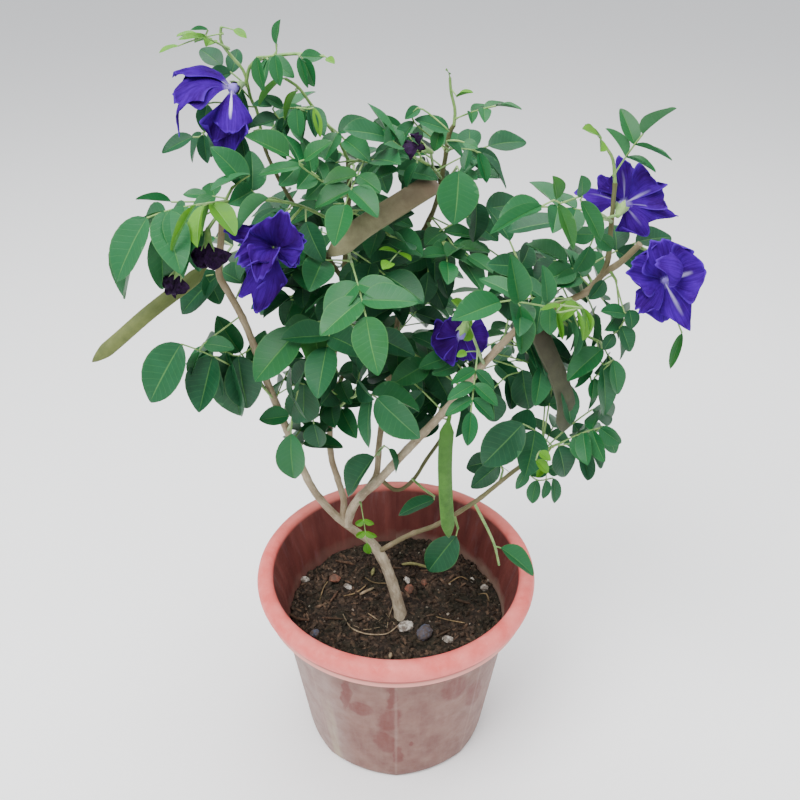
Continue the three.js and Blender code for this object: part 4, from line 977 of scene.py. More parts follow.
# A shoot has its route from the wood, then its leaves: the place along the shoot, the end of
# the stalk, the pairs of leaflets, their length, how they hang, their tone from young to old
# with painted light and shade and, where it isn't straight on, the place that the end leaflet
# points to.
shootValues = {
    "cadStep": 22, "step": 4, "twigFoot": 1.3, "twigTop": 1.0, "stalk": 0.62, "ratio": 0.62,
    "arch": 0.16, "bladeHalf": 0.45, "reachOfPick": 0.7, "variants": 6, "corners": 8,
    "pairPlaces": {0: (), 1: (0.62,), 2: (0.42, 0.72), 3: (0.35, 0.58, 0.8)},
    "forward": 0.5, "aside": 0.87, "lowPair": 0.88, "endLeaflet": 1.08,
    "hang": {"level": 0.12, "hanging": 0.9, "arching": -0.18},
    # young leaves are really yellow-green; the light and dark tones are partly older leaves and
    # partly painted light and shade, lighter for leaves in light and darker for leaves in shade
    "agesAndShade": {"young": 0.0, "light": 0.42, "mature": 0.68, "dark": 1.0},
    "sizes": (1, 0.85, 0.7),
    "turns": (
        (0, 0), (0, 14), (0, -14), (14, 0), (-14, 0), (14, 14), (-14, 14), (14, -14),
        (-14, -14), (0, 28), (0, -28), (28, 0), (-28, 0), (24, 24), (-24, 24), (24, -24),
        (-24, -24)),
}
shoots = {
    "front_left": ([(346, 238, 16), (350, 257, -24), (352, 264, -66)], [
        (1, (366, 317, -108), 2, 37, "level", "light"),
        (0.72, (305, 262, -58), 1, 34, "arching", "mature"),
        (0.26, (385, 275, -30), 1, 34, "arching", "dark")]),
    "fern_shoot": ([(483, 363, -43), (480, 356, -66), (478, 350, -86)], [
        (1, (471, 412, -114), 3, 22, "level", "mature"),
        (0.86, (466, 352, -92), 0, 9, "level", "young"),
        (0.54, (463, 312, -88), 1, 16, "level", "young")]),
    "long_leaf": ([(567, 301, -51), (571, 299, -66)], [
        (1, (500, 302, -92), 2, 33, "level", "mature"),
        (0.46, (582, 308, -86), 1, 21, "hanging", "young")]),
    "big_leaf": ([(440, 190, 23), (452, 174, -8), (457, 167, -24)], [
        (1, (459, 171, -36), 0, 44, "hanging", "mature", (455, 225, -48)),
        (0.67, (476, 203, -14), 0, 30, "hanging", "dark", (478, 244, -14)),
        (0.4, (470, 175, -4), 1, 22, "arching", "mature")]),
    "left_inner": ([(337, 318, 21), (334, 318, -30), (333, 320, -52)], [
        (0.84, (299, 330, -62), 1, 40, "hanging", "light", (258, 382, -78)),
        (1, (327, 347, -70), 1, 36, "arching", "dark"),
        (0.42, (372, 335, -24), 1, 34, "arching", "dark")]),
    "left_runner": ([
        (347, 230, 15), (315, 212, -25), (285, 202, -52), (245, 200, -66), (212, 204, -76)], [
        (0.64, (268, 198, -72), 0, 34, "hanging", "light", (253, 240, -82)),
        (1, (147, 218, -98), 2, 42, "hanging", "mature"),
        (0.76, (246, 186, -62), 1, 30, "level", "mature"),
        (0.94, (203, 206, -92), 1, 26, "hanging", "young"),
        (0.47, (306, 222, -52), 0, 40, "hanging", "dark", (322, 262, -66))]),
    "upper_left": ([(349, 192, 10), (345, 196, -20), (341, 197, -34)], [
        (1, (289, 156, -50), 3, 26, "level", "light", (249, 132, -58)),
        (0.54, (373, 180, -36), 1, 24, "arching", "mature")]),
    "top_mid_left": ([(348, 165, 6), (358, 160, -12), (366, 158, -26)], [
        (1, (345, 205, -66), 2, 27, "level", "light"),
        (0.7, (374, 160, -34), 1, 30, "arching", "mature"),
        (0.45, (325, 165, -10), 1, 28, "level", "mature")]),
    "right_up_shoot": ([(615, 183, -42), (613, 160, -40), (606, 147, -42)], [
        (0.2, (643, 134, -54), 2, 26, "level", "light"),
        (1, (598, 136, -48), 1, 15, "level", "young")]),
    "right_mid_shoot": ([(611, 222, -45), (604, 216, -62), (600, 214, -70)], [
        (1, (541, 207, -84), 2, 26, "level", "mature"),
        (0.3, (562, 222, -44), 0, 36, "level", "dark", (506, 225, -46)),
        (0.7, (590, 246, -64), 1, 20, "arching", "mature")]),
    "right_low": ([(546, 309, -51), (575, 330, -42), (600, 342, -46)], [
        (1, (602, 349, -62), 0, 34, "level", "mature", (567, 377, -78)),
        (1, (612, 364, -52), 1, 28, "hanging", "dark"),
        (0.32, (572, 322, -70), 1, 24, "hanging", "mature")]),
    "low_shoot": ([(541, 453, -52), (551, 447, -56), (561, 443, -59)], [
        (1, (600, 428, -72), 3, 26, "hanging", "mature", (621, 446, -76)),
        (0.6, (523, 424, -76), 1, 36, "hanging", "dark", (480, 466, -84)),
        (0.35, (546, 480, -64), 1, 15, "arching", "mature"),
        (0.5, (543, 464, -68), 0, 11, "level", "young")]),
    "far_left": ([(222, 214, -53), (226, 200, -64), (232, 188, -70)], [
        (0.59, (207, 196, -60), 1, 20, "level", "light", (183, 192, -62)),
        (1, (250, 175, -66), 0, 30, "level", "mature", (204, 187, -72)),
        (0.3, (196, 222, -84), 1, 34, "hanging", "mature")]),
    "left_low": ([(274, 400, -26), (262, 386, -40)], [
        (1, (181, 344, -72), 1, 42, "hanging", "dark", (144, 402, -88)),
        (0.53, (240, 352, -30), 1, 30, "arching", "mature")]),
    "left_hang": ([(287, 431, -19), (291, 424, -34), (292, 420, -44)], [
        (1, (291, 434, -54), 0, 38, "hanging", "mature", (293, 483, -60)),
        (0.62, (298, 390, -46), 1, 30, "arching", "dark")]),
    "middle_front": ([(331, 418, 18), (345, 402, -20), (362, 393, -45)], [
        (1, (377, 398, -68), 1, 40, "hanging", "mature"),
        (0.61, (322, 385, -32), 1, 32, "arching", "dark"),
        (0.85, (360, 372, -48), 1, 30, "arching", "dark")]),
    "low_centre": ([(378, 455, 18), (380, 450, 0), (384, 446, -12)], [
        (0.78, (374, 457, -18), 0, 40, "level", "dark", (342, 495, -24)),
        (1, (389, 449, -24), 0, 28, "level", "mature", (405, 470, -30))]),
    "basal_shoot": ([(358, 499, 0), (361, 504, -8)], [
        (1, (367, 543, -16), 2, 12, "level", "young")]),
    "top_left_shoot": ([
        (263, 142, 8), (257, 111, 0), (251, 99, -5), (244, 72, -10), (232, 57, -12),
        (221, 42, -14), (221, 27, -16)], [
        (0.83, (200, 36, -22), 1, 14, "level", "young"),
        (0.95, (178, 46, -26), 0, 12, "arching", "young"),
        (1, (234, 30, -20), 0, 9, "level", "young"),
        (0.2, (202, 133, 14), 1, 24, "hanging", "dark"),
        (0.06, (284, 126, -6), 1, 25, "arching", "dark"),
        (0.5, (222, 66, 4), 1, 20, "arching", "dark")]),
    "top_left_side": ([(247, 82, -8), (254, 62, -12), (290, 54, -14), (324, 56, -18)], [
        (0.5, (277, 44, -14), 0, 16, "level", "light", (277, 22, -12)),
        (0.4, (268, 60, -20), 1, 21, "hanging", "light"),
        (0.72, (303, 59, -20), 1, 17, "hanging", "light"),
        (1, (327, 58, -21), 0, 8, "arching", "young")]),
    "arch_shoot": ([
        (348, 160, 5), (336, 136, 0), (313, 107, -8), (299, 88, -14), (286, 79, -18)], [
        (1, (282, 79, -24), 0, 24, "hanging", "young", (255, 102, -26)),
        (0.86, (297, 91, -22), 0, 21, "hanging", "young", (281, 118, -26)),
        (0.63, (304, 108, -20), 1, 24, "hanging", "mature"),
        (0.42, (345, 140, -18), 1, 24, "arching", "mature")]),
    "crown": ([(454, 125, 12), (455, 110, 11), (451, 92, 10), (450, 78, 9)], [
        (0.12, (496, 106, -6), 2, 18, "level", "light"),
        (0.75, (457, 97, 2), 0, 8, "level", "young", (472, 90, -4)),
        (1, (449, 74, 6), 0, 7, "level", "young")]),
    "crown_side": ([(446, 152, 17), (452, 148, 4)], [
        (0.6, (481, 153, -16), 1, 16, "hanging", "dark", (511, 184, -22))]),
    "crown_left": ([(440, 178, 22), (430, 166, 0), (412, 156, -16)], [
        (1, (385, 137, -32), 2, 31, "level", "mature"),
        (0.71, (402, 126, 0), 1, 26, "hanging", "mature"),
        (0.88, (417, 163, -34), 0, 26, "hanging", "mature", (404, 186, -40))]),
    "centre_mid": ([(411, 255, 38), (412, 248, 5), (408, 244, -20)], [
        (1, (390, 236, -38), 1, 31, "arching", "dark"),
        (0.9, (390, 262, -64), 1, 14, "arching", "young")]),
    "centre_right": ([(428, 222, 29), (436, 236, 5), (445, 245, -8)], [
        (1, (447, 262, -30), 1, 23, "arching", "light"),
        (0.78, (468, 256, -24), 1, 24, "arching", "light"),
        (0.34, (428, 272, 10), 1, 26, "arching", "dark")]),
    "right_inner": ([(592, 284, -49), (585, 270, -30), (580, 262, -20)], [
        (1, (540, 262, -18), 1, 30, "arching", "dark"),
        (0.45, (556, 292, -14), 1, 30, "arching", "dark")]),
    "right_hang": ([(611, 271, -49), (616, 280, -52)], [
        (1, (621, 330, -58), 1, 22, "arching", "dark"),
        (0.49, (604, 280, -58), 0, 20, "hanging", "dark", (590, 300, -62))]),
    "end_bloom": ([(638, 246, -57), (650, 252, -56)], []),
    "low_back": ([(500, 482, -40), (503, 470, -20)], [
        (1, (497, 462, -16), 1, 31, "hanging", "dark", (462, 474, -16))]),
    "rim_leaf_left": ([(414, 481, 16), (425, 490, 0), (434, 496, -12)], [
        (1, (434, 500, -18), 0, 33, "level", "dark", (397, 511, -22))]),
    "rim_leaf_middle": ([(455, 515, -22), (458, 528, -32)], [
        (1, (456, 536, -38), 0, 38, "level", "dark", (427, 574, -46))]),
    "rim_leaf_right": ([(474, 503, -31), (488, 530, -38), (495, 547, -42), (499, 565, -44)], [
        (0.69, (501, 548, -46), 0, 37, "level", "mature", (537, 572, -58))]),
    "back_left": ([(219, 273, -50), (224, 258, -10), (232, 246, 20)], [
        (1, (206, 236, 52), 1, 34, "hanging", "mature"),
        (0.7, (262, 250, 44), 1, 32, "level", "dark")]),
    "back_middle": ([(343, 280, 20), (346, 262, 60), (350, 250, 86)], [
        (1, (322, 232, 116), 1, 34, "hanging", "mature"),
        (0.7, (382, 240, 100), 1, 34, "level", "dark"),
        (0.5, (318, 262, 84), 1, 32, "level", "mature"),
        (0.3, (366, 216, 62), 1, 30, "arching", "mature")]),
    "back_top": ([(349, 190, 10), (352, 176, 40), (354, 166, 56)], [
        (1, (336, 150, 84), 1, 32, "hanging", "mature"),
        (0.7, (384, 158, 70), 1, 30, "level", "light")]),
    "back_centre": ([(395, 340, 40), (402, 322, 80), (408, 312, 104)], [
        (1, (432, 296, 126), 1, 34, "hanging", "mature"),
        (0.7, (380, 292, 122), 1, 34, "level", "dark"),
        (0.45, (440, 322, 86), 1, 32, "level", "mature")]),
    "back_low": ([(384, 322, 92), (390, 306, 104)], [
        (0.4, (348, 318, 120), 1, 34, "hanging", "dark"),
        (1, (410, 280, 142), 1, 34, "hanging", "mature")]),
    "back_right": ([(583, 294, -50), (578, 276, -4), (572, 266, 24)], [
        (1, (596, 248, 54), 1, 32, "hanging", "mature"),
        (0.75, (540, 256, 48), 1, 32, "level", "dark")]),
    "back_thin": ([(465, 380, 30), (470, 364, 54), (474, 356, 66)], [
        (1, (500, 340, 88), 1, 32, "hanging", "mature"),
        (0.6, (450, 350, 82), 1, 30, "level", "dark")]),
}
# the crown is thickest here: the middle of each thicket and its reach, both as columns, rows
# and depth, and how many small leaves are drawn in it
thicketValues = {
    "seed": 23, "clear": 4.6, "nearest": 16, "farthest": 74, "attempts": 70,
    "lengths": (24, 35), "ratio": 0.6, "margin": 1.3, "crowding": 0.4, "stalkShare": 1.1,
    # the thickets' leaves take the mature to dark tones, partly painted shade deep in the crown
    "habits": ("level", "level", "hanging", "arching"), "agesAndShade": (0.55, 0.7, 0.85, 1.0),
    "thickets": [
        ((330, 215, 22), (56, 26, 36), 7), ((262, 262, -8), (40, 34, 30), 4),
        ((302, 296, 8), (44, 30, 40), 6), ((392, 262, 10), (50, 44, 44), 10),
        ((440, 378, 4), (56, 56, 40), 14), ((322, 396, 0), (42, 48, 34), 9),
        ((548, 330, -14), (52, 44, 40), 9), ((560, 402, -40), (46, 44, 34), 8),
        ((420, 160, 16), (56, 30, 34), 6), ((540, 258, -24), (56, 24, 34), 6),
        ((278, 112, 6), (34, 34, 20), 4), ((232, 372, -30), (40, 26, 26), 4),
        ((400, 320, 60), (90, 60, 40), 8), ((300, 250, 50), (60, 50, 36), 6),
        ((600, 330, -34), (26, 50, 26), 4), ((492, 250, 0), (40, 40, 40), 5),
    ],
}
carriers = {"top_left_side": "top_left_shoot"}
# leaves that the photograph shows rolled to another side, with their width by length
rolledLeaves = {
    ("big_leaf", 0): ((0.1, 0.3, 1), 0.76), ("right_up_shoot", 0): ((-0.3, 1, 0.12), 0.5),
    ("crown", 0): ((0.1, 0.9, 0.5), 0.5), ("left_hang", 0): ((0, 0.2, 1), 0.54),
    ("left_low", 0): ((-0.2, 0.1, 1), 0.66),
    ("fern_shoot", 0): ((0, 0.5, 1), 0.48), ("low_shoot", 1): ((0, 0.3, 1), 0.62),
    ("far_left", 1): ((0, 1, 0.35), 0.5),
}
# outer leaves: the shoot that carries each, or none for the nearest branch, the place along
# it, the depth, then the leaflets
outerValues = {"shifts": (0, -6, -12, 6, -18, 12, -24), "clear": 3.0, "forward": -5,
               "lookAside": (-0.35, 0.35), "lookUp": (0.1, 0.6)}
outerLeaves = {
    "behind_bloom": ("top_left_shoot", 0.32, -4, [
        ((207, 104), (203, 131), 19, "dark"), ((204, 134), (206, 164), 14, "dark"),
        ((193, 137), (160, 150), 17, "dark")]),
    "under_bloom": ("top_left_shoot", 0.25, -2, [
        ((241, 134), (246, 172), 17, "dark"), ((230, 148), (229, 177), 14, "dark")]),
    "beside_bloom": ("top_left_shoot", 0.36, -6, [((241, 88), (247, 131), 14, "dark")]),
    "top_pair": ("top_left_side", 0.36, -18, [
        ((257, 57), (262, 91), 15, "light"), ((275, 55), (279, 86), 15, "light"),
        ((276, 44), (277, 20), 13, "light")]),
    "top_far": ("top_left_side", 0.75, -20, [((299, 57), (307, 88), 9, "light")]),
    "top_tip": ("top_left_shoot", 0.82, -22, [
        ((207, 37), (178, 36), 9, "young"), ((208, 30), (191, 28), 6, "light")]),
    "arch_low": ("arch_shoot", 0.62, -10, [
        ((283, 108), (264, 95), 12, "mature"), ((272, 106), (253, 103), 11, "dark"),
        ((279, 119), (247, 125), 17, "dark"), ((284, 117), (282, 139), 14, "dark")]),
    "arch_side": ("arch_shoot", 0.5, -20, [
        ((297, 108), (298, 137), 18, "mature"), ((309, 109), (317, 137), 12, "dark"),
        ((314, 108), (321, 137), 9, "young")]),
    "bright_pair": ("upper_left", 0.8, -46, [
        ((301, 166), (258, 171), 15, "light"), ((304, 160), (328, 139), 17, "light")]),
    "bright_one": ("top_left_shoot", 0.12, -24, [((254, 131), (288, 157), 13, "light")]),
    "crown_teal": ("crown_side", 0.4, -10, [
        ((414, 122), (394, 148), 18, "mature"), ((420, 108), (405, 118), 11, "mature"),
        ((449, 131), (417, 117), 18, "mature"), ((440, 130), (434, 151), 16, "light")]),
    "crown_right": ("crown_side", 0.9, -14, [
        ((447, 141), (463, 155), 10, "dark"), ((463, 142), (478, 147), 11, "mature"),
        ((478, 153), (488, 183), 13, "mature")]),
    "right_teal": ("right_mid_shoot", 0.8, -74, [
        ((581, 201), (605, 241), 18, "light"), ((582, 196), (584, 177), 16, "light"),
        ((558, 204), (578, 250), 17, "light"), ((557, 199), (556, 177), 16, "light"),
        ((542, 206), (488, 230), 17, "mature")]),
    "bloom_drop": ("end_bloom", 0.9, -60, [((682, 333), (669, 370), 9, "light")]),
    "far_left_big": ("left_runner", 0.9, -92, [
        ((187, 214), (201, 274), 24, "mature"), ((161, 228), (163, 293), 27, "mature"),
        ((148, 218), (113, 299), 28, "mature")]),
    "far_left_light": ("far_left", 0.5, -70, [((171, 202), (136, 196), 10, "light")]),
    "far_left_young": ("far_left", 0.55, -86, [((196, 205), (165, 252), 7, "young")]),
    "under_pod": (None, 0, -34, [
        ((220, 274), (176, 312), 34, "dark"), ((206, 276), (222, 304), 24, "dark")]),
    "low_left_small": (None, 0, -60, [
        ((204, 344), (233, 346), 19, "mature"), ((200, 352), (187, 379), 10, "light")]),
    "low_left_big": (None, 0, -50, [
        ((238, 356), (250, 412), 34, "dark"), ((226, 352), (236, 422), 30, "dark"),
        ((208, 350), (216, 405), 28, "dark")]),
    "low_left_end": (None, 0, -32, [((289, 416), (259, 418), 21, "mature")]),
    "left_middle": (None, 0, -20, [
        ((304, 384), (301, 426), 30, "dark"), ((314, 424), (318, 449), 22, "dark")]),
    "low_right_tips": ("low_shoot", 0.1, -58, [
        ((527, 468), (517, 491), 11, "mature"), ((537, 480), (531, 505), 13, "mature"),
        ((553, 478), (557, 505), 11, "mature")]),
    "low_right_young": ("low_shoot", 0.2, -70, [
        ((539, 452), (551, 460), 10, "young"), ((536, 460), (549, 473), 11, "young")]),
    "low_right_hang": ("low_shoot", 0.9, -60, [
        ((558, 446), (568, 479), 24, "dark"), ((579, 441), (591, 484), 13, "dark"),
        ((589, 436), (605, 470), 14, "dark"), ((602, 426), (618, 455), 18, "mature")]),
    "right_drape": ("right_low", 0.95, -48, [
        ((602, 364), (610, 419), 22, "mature"), ((613, 360), (621, 396), 16, "mature"),
        ((594, 378), (594, 400), 14, "light")]),
    "centre_right_dark": (None, 0, -38, [
        ((522, 370), (531, 412), 27, "dark"), ((507, 376), (515, 411), 23, "dark"),
        ((490, 392), (496, 424), 24, "dark")]),
    "right_small": ("right_hang", 0.8, -54, [
        ((625, 314), (603, 309), 14, "mature"), ((629, 310), (634, 329), 17, "dark"),
        ((621, 326), (633, 352), 18, "dark"), ((614, 334), (604, 350), 14, "dark")]),
    "curled_young": ("long_leaf", 0.5, -84, [
        ((557, 312), (563, 341), 6, "young"), ((576, 309), (586, 341), 7, "young"),
        ((583, 308), (592, 332), 5, "young"), ((560, 305), (541, 308), 6, "young")]),
    "centre_upright": ("long_leaf", 0.9, -88, [
        ((547, 304), (547, 268), 16, "mature"), ((550, 307), (549, 336), 18, "light"),
        ((519, 302), (514, 258), 23, "light"), ((520, 306), (524, 357), 20, "light")]),
}
# leaves deep in the crown: each takes the first of a few ways, a golden angle apart, in which
# the solid leaf stands
innerValues = {"ways": 32, "reach": 44, "length": 30, "rise": 0.35, "golden": 2.4, "front": -0.2}
innerLeaves = [
    ("back_thin", 0.2), ("back_thin", 0.85), ("middle_front", 0.4), ("back_centre", 0.2),
    ("back_centre", 0.85), ("right_inner", 0.7), ("centre_right", 0.55), ("centre_mid", 0.5),
    ("crown_left", 0.3), ("back_middle", 0.15), ("upper_left", 0.8),
]


def leafFrame(start, end, habit):
    along = unit(end - start)
    outward = unit(np.array([start[0], start[1] - 60, 0]))
    wish = upward + outward * (0.9 if habit == "hanging" else 0.55)
    return unit(wish - along * np.dot(wish, along))


def leafStalk(start, end, habit):
    length = norm(end - start)
    middle = (start + end) / 2 + upward * (0.1 if habit == "hanging" else 0.06) * length

    def place(t):
        return start * (1 - t) ** 2 + middle * 2 * t * (1 - t) + end * t ** 2

    def tangent(t):
        return unit((middle - start) * (1 - t) + (end - middle) * t)

    return place, tangent


def bladesOf(start, leaf, end=None):
    # each leaflet of a leaf: base, direction, face and length, before it makes room
    v = shootValues
    _, endPlace, pairs, length, habit, _, *aim = leaf
    end = seen(endPlace) if end is None else end
    face = leafFrame(start, end, habit)
    place, tangent = leafStalk(start, end, habit)
    fall = -upward * v["hang"][habit]
    blades = []
    for t in v["pairPlaces"][pairs]:
        side = unit(np.cross(tangent(t), face))
        for hand in (1, -1):
            along = unit(tangent(t) * v["forward"] + side * hand * v["aside"] + fall)
            reach = length * (v["lowPair"] if t < 0.5 and pairs > 1 else 1)
            blades.append((place(t), along, face, reach))
    if aim:
        straight = seen(aim[0]) - end
        blades.append((end, unit(straight), face, norm(straight)))
    else:
        blades.append((end, unit(tangent(1) + fall), face, length * v["endLeaflet"]))
    return [(base, along, unit(face - along * np.dot(face, along)), reach)
            for base, along, face, reach in blades]


def chosenBlade(blade, tree):
    # the way of turning the leaflet that the solid leaf has, or None where it has none
    base, along, face, length = blade
    across = unit(np.cross(along, face))
    for size in shootValues["sizes"]:
        for turn, lift in shootValues["turns"]:
            heading = turned(turned(along, face, turn), across, lift)
            side = unit(np.cross(heading, face))
            look = unit(np.cross(side, heading))
            tip = base + (heading - look * shootValues["arch"]) * length * size
            if all(tree.find(Vector((tip + look * h * shootValues["bladeHalf"]) * mm))[2]
                   < shootValues["reachOfPick"] * mm for h in (1, -1)):
                return base, heading, look, length * size
    return None


def innerLeaf(chords, along, first, tree):
    v = innerValues
    start = placeOn(chords, along)
    for k in range(first, first + v["ways"]):
        turn = v["golden"] * k
        heading = unit(np.array([math.cos(turn), math.sin(turn), v["rise"]]))
        if heading[1] <= v["front"]:
            continue
        end = start + heading * v["reach"]
        leaf = (along, None, 1, v["length"], "level", "dark")
        blades = [chosenBlade(blade, tree) for blade in bladesOf(start, leaf, end)]
        if blades[-1]:
            return start, end, [blade for blade in blades if blade]
    return None


def ovalHalf(s):
    return 0.5 * math.sin(math.pi * s ** 0.86) ** 0.66 if 0 < s < 1 else 0.0


# shares of a leaflet's length, each drawn between its two
leafletValues = {
    "seed": 70, "rows": 12, "columns": (-1, -0.55, 0, 0.55, 1), "thick": 0.011, "footHalf": 0.035,
    "drawn": {"fold": (0.16, 0.44), "wave": (0.008, 0.02), "phase": (0, 6),
              "sway": (-0.035, 0.035), "droop": (-0.03, 0.04)},
}


def bladeObject(kind):
    # one leaflet of unit length and width: Y runs to its tip and Z is its upper side
    draws = random.Random(leafletValues["seed"] + kind)
    fold, wave, phase, sway, droop = [
        draws.uniform(*ends) for ends in leafletValues["drawn"].values()]
    rows, columns, thick = [leafletValues[name] for name in ("rows", "columns", "thick")]
    ways = [0.5 - 0.5 * math.cos(math.pi * (0.06 + 0.94 * k / rows)) for k in range(rows)]
    ways[0] = 0.0

    def place(s, side, lift):
        half = ovalHalf(s) if s else leafletValues["footHalf"]
        pointed = 1 - 0.06 * math.exp(-((s - 0.93) / 0.06) ** 2)
        x = side * half * pointed + sway * math.sin(math.pi * s)
        z = -(shootValues["arch"] + droop * (1 - s)) * s * s + fold * abs(side) ** 1.3 * half
        z += wave * math.sin(9 * s + phase + 2 * side) * abs(side)
        return (x / mm, s / mm, (z + lift) / mm)

    points, faces, maps, under = [], [], [], []
    for lift in (thick / 2, -thick / 2):
        for s in ways:
            for side in columns:
                points.append(place(s, side, lift if abs(side) < 1 else 0))
                maps.append((0.5 + 0.5 * side, s))
        points.append(place(1, 0, 0))
        maps.append((0.5, 1))
    wide = len(columns)
    layer = len(ways) * wide + 1
    for level in (0, 1):
        first = level * layer
        for row in range(len(ways) - 1):
            for k in range(wide - 1):
                a = first + row * wide + k
                quad = (a, a + 1, a + wide + 1, a + wide)
                faces.append(quad if level == 0 else tuple(reversed(quad)))
                under.append(level)
        for k in range(wide - 1):
            a = first + (len(ways) - 1) * wide + k
            tri = (a, a + 1, first + layer - 1)
            faces.append(tri if level == 0 else tuple(reversed(tri)))
            under.append(level)
    piece = meshObject(f"leaflet{kind}", points, faces, [])
    bpy.context.scene.collection.objects.unlink(piece)
    for edge in piece.data.edges:
        edge.use_edge_sharp = all(maps[v][0] == 0.5 for v in edge.vertices)
    setMap(piece, "leafMap", maps)
    setLayer(piece, "underside", [float(u) for u in under], domain="FACE")
    return piece


def shootTree():
    # leaflets stood on points, which hold each one's turn, size, kind and tone from young to old
    # with painted light and shade, and green stems
    tree, start = newTree("leafyShoot", [
        ("Leaflets", "NodeSocketCollection", None), ("Stems", "NodeSocketObject", None),
        ("Corners", "NodeSocketInt", 8), ("Ripple", "NodeSocketFloat", 0.5),
        ("LeafMaterial", "NodeSocketMaterial", None),
        ("StemMaterial", "NodeSocketMaterial", None)])

    def named(name, kind):
        return firstOf(tree, "GeometryNodeInputNamedAttribute", {"Name": name}, data_type=kind)

    blades = firstOf(tree, "GeometryNodeCollectionInfo", {
        "Collection": start["Leaflets"], "Separate Children": True, "Reset Children": True})
    points = firstOf(tree, "GeometryNodeMeshToPoints", {"Mesh": start["Geometry"]})
    stood = firstOf(tree, "GeometryNodeInstanceOnPoints", {
        "Points": points, "Instance": blades, "Pick Instance": True,
        "Instance Index": named("kind", "INT"), "Rotation": named("turn", "QUATERNION"),
        "Scale": named("size", "FLOAT_VECTOR")})
    real = firstOf(tree, "GeometryNodeRealizeInstances", {0: stood})
    ripple = addNode(tree, "ShaderNodeTexNoise", {"Scale": 60.0, "Detail": 1.0})
    centred = firstOf(tree, "ShaderNodeVectorMath", {
        0: ripple.outputs["Color"], 1: (0.5, 0.5, 0.5)}, operation="SUBTRACT")
    offset = firstOf(tree, "ShaderNodeVectorMath", {
        0: centred, "Scale": product(tree, start["Ripple"], mm)}, operation="SCALE")
    moved = firstOf(tree, "GeometryNodeSetPosition", {0: real, "Offset": offset})
    leaves = firstOf(tree, "GeometryNodeSetMaterial", {
        0: moved, "Material": start["LeafMaterial"]})
    lines = addNode(tree, "GeometryNodeObjectInfo", {"Object": start["Stems"]})
    profile = firstOf(tree, "GeometryNodeCurvePrimitiveCircle", {
        "Resolution": start["Corners"], "Radius": 1.0})
    stems = firstOf(tree, "GeometryNodeCurveToMesh", {
        0: lines.outputs["Geometry"], 1: profile,
        "Scale": firstOf(tree, "GeometryNodeInputRadius"), "Fill Caps": True})
    stems = firstOf(tree, "GeometryNodeSetMaterial", {
        0: stems, "Material": start["StemMaterial"]})
    stems = firstOf(tree, "GeometryNodeSetShadeSmooth", {0: stems})
    both = addNode(tree, "GeometryNodeJoinGeometry")
    tree.links.new(stems, both.inputs[0])
    tree.links.new(leaves, both.inputs[0])
    whole = firstOf(tree, "GeometryNodeRealizeInstances", {0: both.outputs[0]})
    addNode(tree, "NodeGroupOutput", {0: whole})
    return tree


def leafMaterial():
    # a living leaf: matt waxy green above with a pale midrib, paler and duller beneath
    material, tree, surface = newMaterial("peaLeaf")
    place = objectPlace(tree)
    flat = firstOf(tree, "ShaderNodeUVMap", uv_map="leafMap")
    parts = addNode(tree, "ShaderNodeSeparateXYZ", {0: flat}).outputs
    aside = maths(tree, "ABSOLUTE", maths(tree, "MULTIPLY_ADD", parts[0], 2.0, -1.0))
    age = attribute(tree, "age")
    draw = attribute(tree, "draw")
    # the tone runs from young yellow-green to the darkest green; its lighter and darker ends are
    # partly painted light and shade
    shade = maths(tree, "MULTIPLY_ADD", maths(tree, "SUBTRACT", draw, 0.5), 0.34, age)
    body = ramp(tree, shade, [(0.1, "#558c1a"), (0.3, "#185626"), (0.62, "#1b5c30"),
                              (1.0, "#134428")])
    cloudy = grain(tree, place, 9, 3)
    body = blend(tree, limits(tree, cloudy, 0.4, 0.7, 0, 0.3), body, "#1f5c3c")
    # side veins leave the midrib at a slant, about 3 mm apart
    slant = maths(tree, "MULTIPLY_ADD", aside, -1.6, product(tree, parts[1], 10.0))
    veins = maths(tree, "PINGPONG", slant, 0.5)
    veinLine = limits(tree, veins, 0.0, 0.1, 1, 0)
    midrib = limits(tree, aside, 0.01, 0.055, 1, 0)
    body = blend(tree, product(tree, veinLine, 0.1), body, "#4f8f4c")
    body = blend(tree, product(tree, midrib, 0.36), body, "#6aa052")
    rim = limits(tree, aside, 0.93, 1.0, 0, 0.25)
    body = blend(tree, rim, body, "#6a9a50")
    beneath = attribute(tree, "underside")
    body = blend(tree, product(tree, beneath, 0.35), body, "#4a8052")
    coat(tree, surface, body, 0.46, 0.26)
    heights = maths(tree, "MAXIMUM", product(tree, veinLine, 0.4), midrib)
    soft = bump(tree, surface, product(tree, heights, -1.0), 0.25, 0.5)
    bump(tree, surface, grain(tree, place, 2.5, 3), 0.25, 0.35, soft)
    return material


def stemMaterial():
    # green stems and stalks, smooth with fine down
    material, tree, surface = newMaterial("greenStem")
    place = objectPlace(tree)
    body = blend(tree, limits(tree, grain(tree, place, 8, 3), 0.35, 0.65), "#5d8a3f", "#86a75a")
    coat(tree, surface, body, 0.55, **{"Sheen Weight": 0.2})
    bump(tree, surface, grain(tree, place, 0.7, 2), 0.1, 0.4)
    return material


def calyxEnds(bloom):
    foot = seen(bloom["calyx"])
    axis = unit(seen(bloom["throat"]) - foot)
    return foot - axis * 2, foot + axis * 9


def nearestOf(points):
    tree = kdtree.KDTree(len(points))
    for k, point in enumerate(points):
        tree.insert(point, k)
    tree.balance()
    return tree


leafletKinds = makeSet("leafletKinds", [bladeObject(k) for k in range(shootValues["variants"])])
shootMaker = shootTree()
leafGreen, stemGreen = leafMaterial(), stemMaterial()
shootLines = {}
taken = []
woodFine = branchLines(woodValues["fineStep"])
branchTree = nearestOf([place for line in woodFine for place in line])


